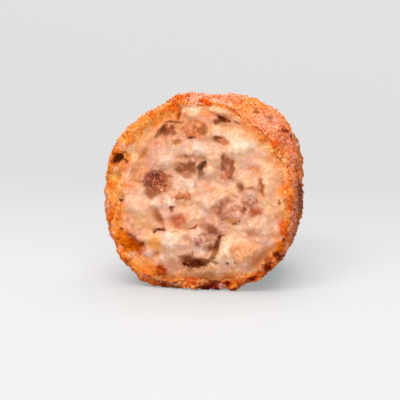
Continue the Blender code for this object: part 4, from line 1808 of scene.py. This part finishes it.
    def build(self) -> bpy.types.Object:
        """Builds the crust as one closed mesh.

        Returns:
            The finished object.
        """
        turn = np.linspace(0, 2 * math.pi, self.columns, endpoint=False)
        skin = self.rings_of(turn)
        points, cover = skin.joined()[0], skin.joined()[-1]
        above = smooth((points[:, 2] - self.bare) / self.sparse)
        cover = cover * above
        rings = len(skin.rings) - 2
        faces = tube_faces(rings, self.columns)
        last = (rings - 1) * self.columns
        count = rings * self.columns
        for column in range(self.columns):
            after = (column + 1) % self.columns
            faces.append((count, column, after))
            faces.append((last + after, last + column, count + 1))
        piece = mesh_object("fried_crust", points, faces, self.finish.material())
        store_colours(piece, self.colours(skin))
        store_values(piece, COVER, cover)
        store_values(piece, CLUMP_COVER, self.clumped(points, cover) * above)
        face_outwards(piece)
        hand_over(piece, ["crust"])
        return piece


def tube_faces(rows: int, columns: int) -> list[tuple[int, ...]]:
    """Faces of a tube of closed rings.

    Args:
        rows: Number of rings.
        columns: Vertices in a ring.

    Returns:
        The four vertices of each face.
    """
    faces: list[tuple[int, ...]] = []
    for row in range(rows - 1):
        start = row * columns
        for column in range(columns):
            after = (column + 1) % columns
            faces.append(
                (start + column, start + columns + column, start + columns + after, start + after)
            )
    return faces


@dataclass
class Filling:
    """The creamy filling: its torn cut face and the body behind it."""

    cells: int = 272
    wall_rings: int = 12
    overlap: float = 0.10 * MM
    clearance: float = 0.05 * MM
    first_ring: float = 0.05
    finish: CreamFinish = CreamFinish("set_cream")

    def spread(self) -> tuple[np.ndarray, np.ndarray]:
        """Spreads a square grid evenly over a disc.

        Returns:
            The share of the radius and the angle of each grid point, row by row.
        """
        side = np.linspace(-1, 1, self.cells + 1)
        a, b = np.meshgrid(side, side)
        a, b = a.ravel(), b.ravel()
        wide = np.abs(a) > np.abs(b)
        share = np.where(wide, a, b)
        safe = np.where(share == 0, 1, share)
        angle = np.where(wide, math.pi / 4 * b / safe, math.pi / 2 - math.pi / 4 * a / safe)
        return share, angle

    def cut(self) -> tuple[np.ndarray, np.ndarray, np.ndarray]:
        """The torn cut face.

        Returns:
            The angle round the axis of each grid point, its place and its colour.
        """
        share, angle = self.spread()
        x, z = share * np.cos(angle), share * np.sin(angle)
        turn = np.arctan2(z, x)
        radius = np.hypot(*SHAPE.on_cut(SHAPE.surface(turn, np.zeros_like(turn), -self.overlap)))
        x, z = x * radius, z * radius
        depth, creases = CUT.relief(x, z)
        points = SHAPE.places(x, depth, z)
        return turn, points, CUT.colours(points, creases)

    def build(self) -> None:
        """Builds the filling as one closed mesh."""
        turn, points, colours = self.cut()
        n = self.cells + 1
        faces: list[tuple[int, ...]] = []
        for row in range(self.cells):
            for first in range(row * n, row * n + self.cells):
                faces.append((first, first + 1, first + n + 1, first + n))
        rim = [*range(n), *range(2 * n - 1, n * n, n)]
        rim += [*range(n * n - 2, n * self.cells - 1, -1), *range(n * (self.cells - 1), 0, -n)]
        size, start = len(rim), len(points)
        rings = []
        for step in np.linspace(0, 1, self.wall_rings + 1)[1:-1]:
            share = np.full(size, self.first_ring + (1 - self.first_ring) * step)
            rings.append(SHAPE.surface(turn[rim], share, self.clearance))
        end = SHAPE.surface(np.zeros(1), np.ones(1), self.clearance)
        points = np.concatenate([points, *rings, end])
        colours = np.concatenate([colours, plain(CUT.cream, len(points) - start)])
        tail = start + (self.wall_rings - 2) * size
        for column in range(size):
            after = (column + 1) % size
            faces.append((rim[column], rim[after], start + after, start + column))
            for here in range(start, tail, size):
                faces.append((here + column, here + after, here + size + after, here + size + column))
            faces.append((tail + column, tail + after, len(points) - 1))
        piece = mesh_object("cream_filling", points, faces, self.finish.material())
        store_colours(piece, colours)
        face_outwards(piece)
        hand_over(piece, ["filling"])


@dataclass
class Meat:
    """The pieces of oxtail in the cut face."""

    squareness: float = 2.7
    roughness: float = 0.22
    dent_size: float = 0.53
    rise: float = 0.22 * MM
    dive: float = 0.30 * MM
    large: float = 3.0
    swell: float = 0.10 * MM
    swell_size: float = 0.6 * MM
    warp: float = 0.5 * MM
    warp_size: float = 0.8 * MM
    knob: float = 0.32
    small_knob: float = 0.06
    knob_size: float = 1.35 * MM
    ripple: float = 0.30
    ripple_size: float = 0.9 * MM
    pit: float = 0.16
    small_pit: float = 0.06
    pit_size: float = 0.40 * MM
    patch_size: float = 1.1 * MM
    grain_size: float = 0.5 * MM
    dark_grain_size: float = 0.26 * MM
    finish: MeatFinish = MeatFinish("braised_meat")
    dark_finish: MeatFinish = MeatFinish(
        "dark_meat", (0.34, 0.20, 0.18), (1.8, 2.3, 2.6), 0.9, 0.8, 0.26 * MM, 0.09
    )

    @staticmethod
    def ball(steps: int) -> tuple[np.ndarray, list[tuple[int, ...]]]:
        """An evenly divided ball.

        Args:
            steps: How often its faces are divided.

        Returns:
            The direction of each vertex from the middle, and the faces.
        """
        bm = bmesh.new()
        bmesh.ops.create_icosphere(bm, subdivisions=steps, radius=1.0)
        bm.verts.ensure_lookup_table()
        ways = np.array([vertex.co.normalized() for vertex in bm.verts])
        faces = [tuple(vertex.index for vertex in face.verts) for face in bm.faces]
        bm.free()
        return ways, faces

    def shaped(self, morsel: Lump, ways: np.ndarray) -> tuple[np.ndarray, np.ndarray]:
        """The vertices of one piece.

        Args:
            morsel: The piece.
            ways: Their directions from a ball's middle.

        Returns:
            The places, and how deep each lies in a crease.
        """
        half = np.array([morsel.width, morsel.depth, morsel.height]) * MM / 2
        seed = np.array([morsel.x, morsel.z, morsel.turn])
        spread = (np.abs(ways) ** self.squareness).sum(axis=1) ** (-1 / self.squareness)
        rough = 1 + self.roughness * roughness_at(ways + seed * self.dent_size, self.dent_size)
        spin = np.array(Matrix.Rotation(-math.radians(morsel.turn), 3, "Y"))
        x, z = np.array([morsel.x * MM]), np.array([morsel.z * MM])
        middle = SHAPE.places(x, SHAPE.face(x, z) + morsel.sink * MM, z)
        points = (ways * half * (rough * spread)[:, None]) @ spin.T + middle
        out = ways @ spin.T
        x, z = SHAPE.on_cut(points)
        away = morsel.share(x, z)
        swell = self.rise * (1 - away**2) - self.dive * away**4
        swell += self.swell * roughness_at(points, self.swell_size, morsel.turn)
        front = SHAPE.face_y + CUT.relief(x, z)[0] - swell
        points[:, 1] += (front - points[:, 1]) * smooth(-out[:, 1] * 3)
        warped = points * np.array([0.7, 1.0, 1.0])
        warped[:, 0] += self.warp * roughness_at(points, self.warp_size)
        large = nodules_at(warped + morsel.z, self.knob_size, 1.1)[0]
        knob = self.knob if morsel.name in KNOBBLY_MEAT else self.small_knob
        pit = self.pit if morsel.name in DARK_MEAT else self.small_pit
        fine = knob * (large - 0.5) + self.ripple * roughness_at(points, self.ripple_size, morsel.x)
        fine += pit * roughness_at(points, self.pit_size, morsel.z)
        return points + out * (fine * MM)[:, None], -fine / 0.24

    def build_one(self, morsel: Lump) -> None:
        """Builds one piece of meat.

        Args:
            morsel: The piece.
        """
        dark = morsel.name in DARK_MEAT
        finish = self.dark_finish if dark else self.finish
        ways, faces = self.ball(6 if max(morsel.width, morsel.height) >= self.large else 5)
        points, creases = self.shaped(morsel, ways)
        look = MEAT_LOOKS[morsel.name]
        patches = roughness_at(points, self.patch_size, 6.0)
        base = mixed(plain(look.body, len(points)), look.bright, smooth(patches * 3 + 0.25) * 0.7)
        outward = morsel.share(*SHAPE.on_cut(points)) + 0.35 * patches
        base = mixed(base, look.halo, smooth((outward - 0.62) * 3.0) * 0.8)
        base = CUT.marked(base, points, CUT_MARKS, np.full(len(points), 0.9))
        # Painted shade in the creases between the knobs and painted highlight on the raised knobs.
        base = speckled(base, creases, (finish.dark, 0.5), (finish.fat, 0.5), 1.2, 0.2)
        grain = roughness_at(points, self.dark_grain_size if dark else self.grain_size, 2.0)
        share = 0.5 if dark else 0.25
        base = speckled(base, grain, (finish.dark, share), (finish.fat, share))
        piece = mesh_object(morsel.name + "_chunk", points, faces, finish.material())
        store_colours(piece, base)
        hand_over(piece, [morsel.name])

    def build(self) -> None:
        """Builds every piece of meat."""
        for morsel in MORSELS:
            self.build_one(morsel)


@dataclass(frozen=True)
class CrumbKind:
    """One kind of crumb grain: its spacing, size, seed, finish and where it lies."""

    kind: Crumb
    spacing: float
    size: float
    spread: float
    share: float
    seed: int
    finish: GrainFinish
    cover: str = COVER
    segments: int = 4
    rings: int = 2
    dent: float = 0.16 * MM
    floor: float = 0.02 * MM


class GrainTree:
    """A Geometry Nodes tree that scatters irregular grains over a surface."""

    def __init__(self, kind: CrumbKind) -> None:
        """Builds the tree.

        Args:
            kind: The kind of grain.
        """
        self.kind = kind
        self.tree = bpy.data.node_groups.new("crumb_scatter", "GeometryNodeTree")
        face = self.tree.interface
        face.new_socket("Surface", in_out="INPUT", socket_type="NodeSocketGeometry")
        self.sockets = {}
        for name in ("Spacing", "Density", "Size", "Spread", "Seed"):
            form = "NodeSocketInt" if name == "Seed" else "NodeSocketFloat"
            socket = face.new_socket(name, in_out="INPUT", socket_type=form)
            self.sockets[name] = socket.identifier
        face.new_socket("Grains", in_out="OUTPUT", socket_type="NodeSocketGeometry")
        self.given = self.tree.nodes.new("NodeGroupInput").outputs
        self.wire(kind.finish.material())

    def node(self, kind: str, inputs: dict[str | int, object], **settings: object) -> bpy.types.Node:
        """Adds a node to the tree, as add_node does."""
        return add_node(self.tree, kind, inputs, **settings)

    def math(self, operation: str, first: object, second: object) -> bpy.types.NodeSocket:
        """The outcome of an operation on two numbers or sockets."""
        return self.node("ShaderNodeMath", {0: first, 1: second}, operation=operation).outputs[0]

    def vector(self, operation: str, inputs: dict[str | int, object]) -> bpy.types.NodeSocket:
        """The outcome of an operation on vectors."""
        return self.node("ShaderNodeVectorMath", inputs, operation=operation).outputs[0]

    def random(self, low: object, high: object, shift: int) -> bpy.types.NodeSocket:
        """A random number for each grain.

        Args:
            low: Its lowest value, a number or a socket.
            high: Its highest value, a number or a socket.
            shift: Added to the seed, so that two draws differ.

        Returns:
            The number.
        """
        seed = self.math("ADD", self.given["Seed"], shift)
        node = self.node("FunctionNodeRandomValue", {"Seed": seed}, data_type="FLOAT")
        numbers = [place for place, socket in enumerate(node.inputs) if socket.type == "VALUE"]
        for place, value in zip(numbers, (low, high)):
            if isinstance(value, bpy.types.NodeSocket):
                self.tree.links.new(value, node.inputs[place])
            else:
                node.inputs[place].default_value = value
        return [socket for socket in node.outputs if socket.type == "VALUE"][0]

    def three(self, makers: Callable[[int], bpy.types.NodeSocket]) -> bpy.types.NodeSocket:
        """Joins three numbers into a vector."""
        inputs = {axis: makers(axis) for axis in range(3)}
        return self.node("ShaderNodeCombineXYZ", inputs).outputs[0]

    def grown(self, axis: int) -> bpy.types.NodeSocket:
        """A random size for each grain.

        Args:
            axis: The axis that it is measured along, 0 to 2.

        Returns:
            Half the grain's size along that axis.
        """
        low = self.math("SUBTRACT", 1.0, self.given["Spread"])
        high = self.math("ADD", 1.0, self.given["Spread"])
        return self.math("MULTIPLY", self.random(low, high, 21 + axis), self.given["Size"])

    def placed(self) -> bpy.types.NodeSocket:
        """Spreads points over the surface and puts a turned and stretched grain on each.

        Returns:
            The grains.
        """
        named = {"Name": self.kind.cover}
        cover = self.node("GeometryNodeInputNamedAttribute", named, data_type="FLOAT")
        spread = {
            "Mesh": self.given["Surface"],
            "Distance Min": self.given["Spacing"],
            "Density Max": self.given["Density"],
            "Density Factor": cover.outputs["Attribute"],
            "Seed": self.given["Seed"],
        }
        points = self.node("GeometryNodeDistributePointsOnFaces", spread, distribute_method="POISSON")
        ball = {"Segments": self.kind.segments, "Rings": self.kind.rings, "Radius": 1.0}
        grains = {
            "Points": points.outputs["Points"],
            "Instance": self.node("GeometryNodeMeshUVSphere", ball).outputs["Mesh"],
            "Rotation": self.three(lambda axis: self.random(0.0, 2 * math.pi, 11 + axis)),
            "Scale": self.three(self.grown),
        }
        return self.node("GeometryNodeInstanceOnPoints", grains).outputs["Instances"]

    def wire(self, material: bpy.types.Material) -> None:
        """Wires the tree: grains on the surface, their tones, uneven faces, floor and material.

        Args:
            material: The grains' material.
        """
        toned = self.node(
            "GeometryNodeStoreNamedAttribute",
            {"Geometry": self.placed(), "Name": TONE, "Value": self.random(0.0, 1.0, 31)},
            data_type="FLOAT",
            domain="INSTANCE",
        )
        real = self.node("GeometryNodeRealizeInstances", {"Geometry": toned.outputs["Geometry"]})
        grains = {"Geometry": self.uneven(real.outputs["Geometry"]), "Material": material}
        done = self.node("GeometryNodeSetMaterial", grains)
        self.node("NodeGroupOutput", {"Grains": done.outputs["Geometry"]})

    def uneven(self, grains: bpy.types.NodeSocket) -> bpy.types.NodeSocket:
        """Breaks the grains' regular shape and keeps them above the floor.

        Args:
            grains: The regular grains.

        Returns:
            The uneven grains.
        """
        place = self.node("GeometryNodeInputPosition", {}).outputs[0]
        texture = {"Scale": 1 / self.kind.dent, "Detail": 0.0, "Vector": place}
        pattern = self.node("ShaderNodeTexNoise", texture).outputs["Color"]
        centred = self.vector("SUBTRACT", {0: pattern, 1: (0.5, 0.5, 0.5)})
        reach = self.math("MULTIPLY", self.given["Size"], 1.5)
        moved = {"Geometry": grains, "Offset": self.vector("SCALE", {0: centred, "Scale": reach})}
        moved = self.node("GeometryNodeSetPosition", moved).outputs[0]
        place = self.node("GeometryNodeInputPosition", {}).outputs[0]
        held = self.vector("MAXIMUM", {0: place, 1: (-1.0, -1.0, self.kind.floor)})
        return self.node("GeometryNodeSetPosition", {"Geometry": moved, "Position": held}).outputs[0]


@dataclass
class CrumbCoat:
    """The loose-looking grains that stand on the crust."""

    kinds: tuple[CrumbKind, ...] = (
        CrumbKind(
            Crumb.GOLDEN, 0.36 * MM, 0.17 * MM, 0.45, 1.0, 5,
            GrainFinish("golden_grain", (0.74, 0.42, 0.18), (1.10, 1.45, 2.05), 0.9, 0.8),
        ),
        CrumbKind(
            Crumb.PALE, 0.46 * MM, 0.17 * MM, 0.45, 0.9, 17,
            GrainFinish("pale_grain", (0.94, 0.80, 0.65), (1.12, 1.50, 2.25), 0.8, 0.9),
        ),
        CrumbKind(
            Crumb.TOASTED, 0.50 * MM, 0.17 * MM, 0.40, 0.9, 29,
            GrainFinish("toasted_grain", (0.54, 0.23, 0.07), (0.95, 0.85, 0.65), 1.0, 0.6),
        ),
        CrumbKind(
            Crumb.DARK, 1.30 * MM, 0.16 * MM, 0.45, 0.6, 43,
            GrainFinish("dark_grain", (0.30, 0.12, 0.06), (0.55, 0.30, 0.18), 1.0, 1.0),
        ),
        CrumbKind(
            Crumb.CLUMPED, 0.44 * MM, 0.25 * MM, 0.45, 1.0, 57,
            GrainFinish("clumped_grain", (0.64, 0.32, 0.14), (1.10, 1.52, 2.25), 0.9, 0.8),
            CLUMP_COVER, 5, 3,
        ),
    )

    def build(self, crust: bpy.types.Object) -> None:
        """Scatters every kind of grain over the crust.

        Args:
            crust: The finished crust.
        """
        for kind in self.kinds:
            self.scatter(kind, crust)

    def scatter(self, kind: CrumbKind, crust: bpy.types.Object) -> None:
        """Scatters one kind of grain and makes it a plain mesh.

        Args:
            kind: The kind of grain.
            crust: The finished crust.
        """
        carrier = add_object(kind.kind.value + "_carrier", crust.data.copy())
        tree = GrainTree(kind)
        modifier = carrier.modifiers.new("Scatter", "NODES")
        modifier.node_group = tree.tree
        values = {
            "Spacing": kind.spacing,
            "Density": kind.share / kind.spacing**2,
            "Size": kind.size,
            "Spread": kind.spread,
            "Seed": kind.seed,
        }
        for name, value in values.items():
            modifier[tree.sockets[name]] = value
        graph = bpy.context.evaluated_depsgraph_get()
        mesh = bpy.data.meshes.new_from_object(carrier.evaluated_get(graph))
        carrier.modifiers.remove(modifier)
        bpy.data.objects.remove(carrier)
        mesh.name = kind.kind.value
        hand_over(add_object(kind.kind.value, mesh))


@dataclass(frozen=True)
class Lamp:
    """A square soft light: its place and side in metres, its power in watts."""

    name: str
    place: tuple[float, float, float]
    side: float
    power: float

    def hang(self) -> None:
        """Hangs the light so that it faces the croquette."""
        data = bpy.data.lights.new(self.name, "AREA")
        data.shape = "SQUARE"
        data.size = self.side
        data.energy = self.power
        aim = Vector((0, 0, SHAPE.axis_height)) - Vector(self.place)
        turn = aim.to_track_quat("-Z", "Y").to_matrix().to_4x4()
        add_object(self.name, data).matrix_world = Matrix.Translation(self.place) @ turn


@dataclass
class Studio:
    """The pale floor, the soft lights and the camera."""

    sensor: float = 36.0
    nearest: float = 0.01
    farthest: float = 20.0
    floor_size: float = 6.0
    floor_colour: Colour = (0.480, 0.425, 0.420)
    glow_near: Colour = (0.232, 0.312, 0.322)
    glow_middle: Colour = (0.122, 0.191, 0.194)
    glow_far: Colour = (0.196, 0.256, 0.260)
    sky: float = 0.30
    lamps: tuple[Lamp, ...] = (
        Lamp("soft_key", (0.08, -0.86, 1.20), 1.10, 15.0),
        Lamp("top_light", (0.06, 0.38, 1.44), 1.30, 12.8),
        Lamp("crisp_key", (-0.50, -0.90, 1.20), 0.40, 4.0),
        Lamp("low_fill", (0.10, -1.20, 0.30), 0.90, 1.6),
    )

    def camera(self) -> None:
        """Places the camera at the photograph's viewing angle."""
        data = bpy.data.cameras.new("camera")
        data.sensor_width = self.sensor
        width = VIEW.image / VIEW.pixels_per_mm * MM
        data.lens = self.sensor * VIEW.distance / width
        data.clip_start = self.nearest
        data.clip_end = self.farthest
        camera = add_object("camera", data)
        turn = Matrix(VIEW.axes()).transposed().to_4x4()
        place = VIEW.aim() + VIEW.axes()[2] * VIEW.distance
        camera.matrix_world = Matrix.Translation(place) @ turn
        bpy.context.scene.camera = camera

    def floor(self) -> None:
        """Lays the pale floor, a little darker towards the back."""
        half = self.floor_size / 2
        corners = np.array([(-half, -half, 0), (half, -half, 0), (half, half, 0), (-half, half, 0)])
        look = Shading("pale_floor")
        # The floor glows by itself: painted light that lifts the shadows on it, cooler than its own
        # colour.
        depth = look.node("ShaderNodeSeparateXYZ", {0: look.place}).outputs["Y"]
        near = look.node("ShaderNodeRGB", {}).outputs[0]
        near.default_value = (*self.glow_near, 1.0)
        glow = look.blend(near, self.glow_middle, look.ramp(depth, 0.0, 0.07, 0.0, 1.0), "MIX")
        glow = look.blend(glow, self.glow_far, look.ramp(depth, 0.09, 0.34, 0.0, 1.0), "MIX")
        look.set(Base_Color=(*self.floor_colour, 1.0), Emission_Color=glow, Emission_Strength=1.0)
        look.set(Roughness=0.6, Specular_IOR_Level=0.1)
        floor = mesh_object("floor", corners, [(0, 1, 2, 3)], look.material)

    def build(self) -> None:
        """Sets up the whole studio."""
        self.camera()
        self.floor()
        for lamp in self.lamps:
            lamp.hang()
        world = bpy.data.worlds.new("studio")
        world.use_nodes = True
        background = world.node_tree.nodes["Background"]
        background.inputs["Color"].default_value = (1.0, 1.0, 1.0, 1.0)
        background.inputs["Strength"].default_value = self.sky
        bpy.context.scene.world = world
        bpy.context.scene.view_settings.view_transform = "Standard"


def main() -> None:
    """Builds the croquette's looks and its studio."""
    logging.basicConfig(level=logging.INFO, format="%(name)s %(message)s")
    crust = Crust().build()
    Filling().build()
    Meat().build()
    CrumbCoat().build(crust)
    Studio().build()


if __name__ == "__main__":
    main()
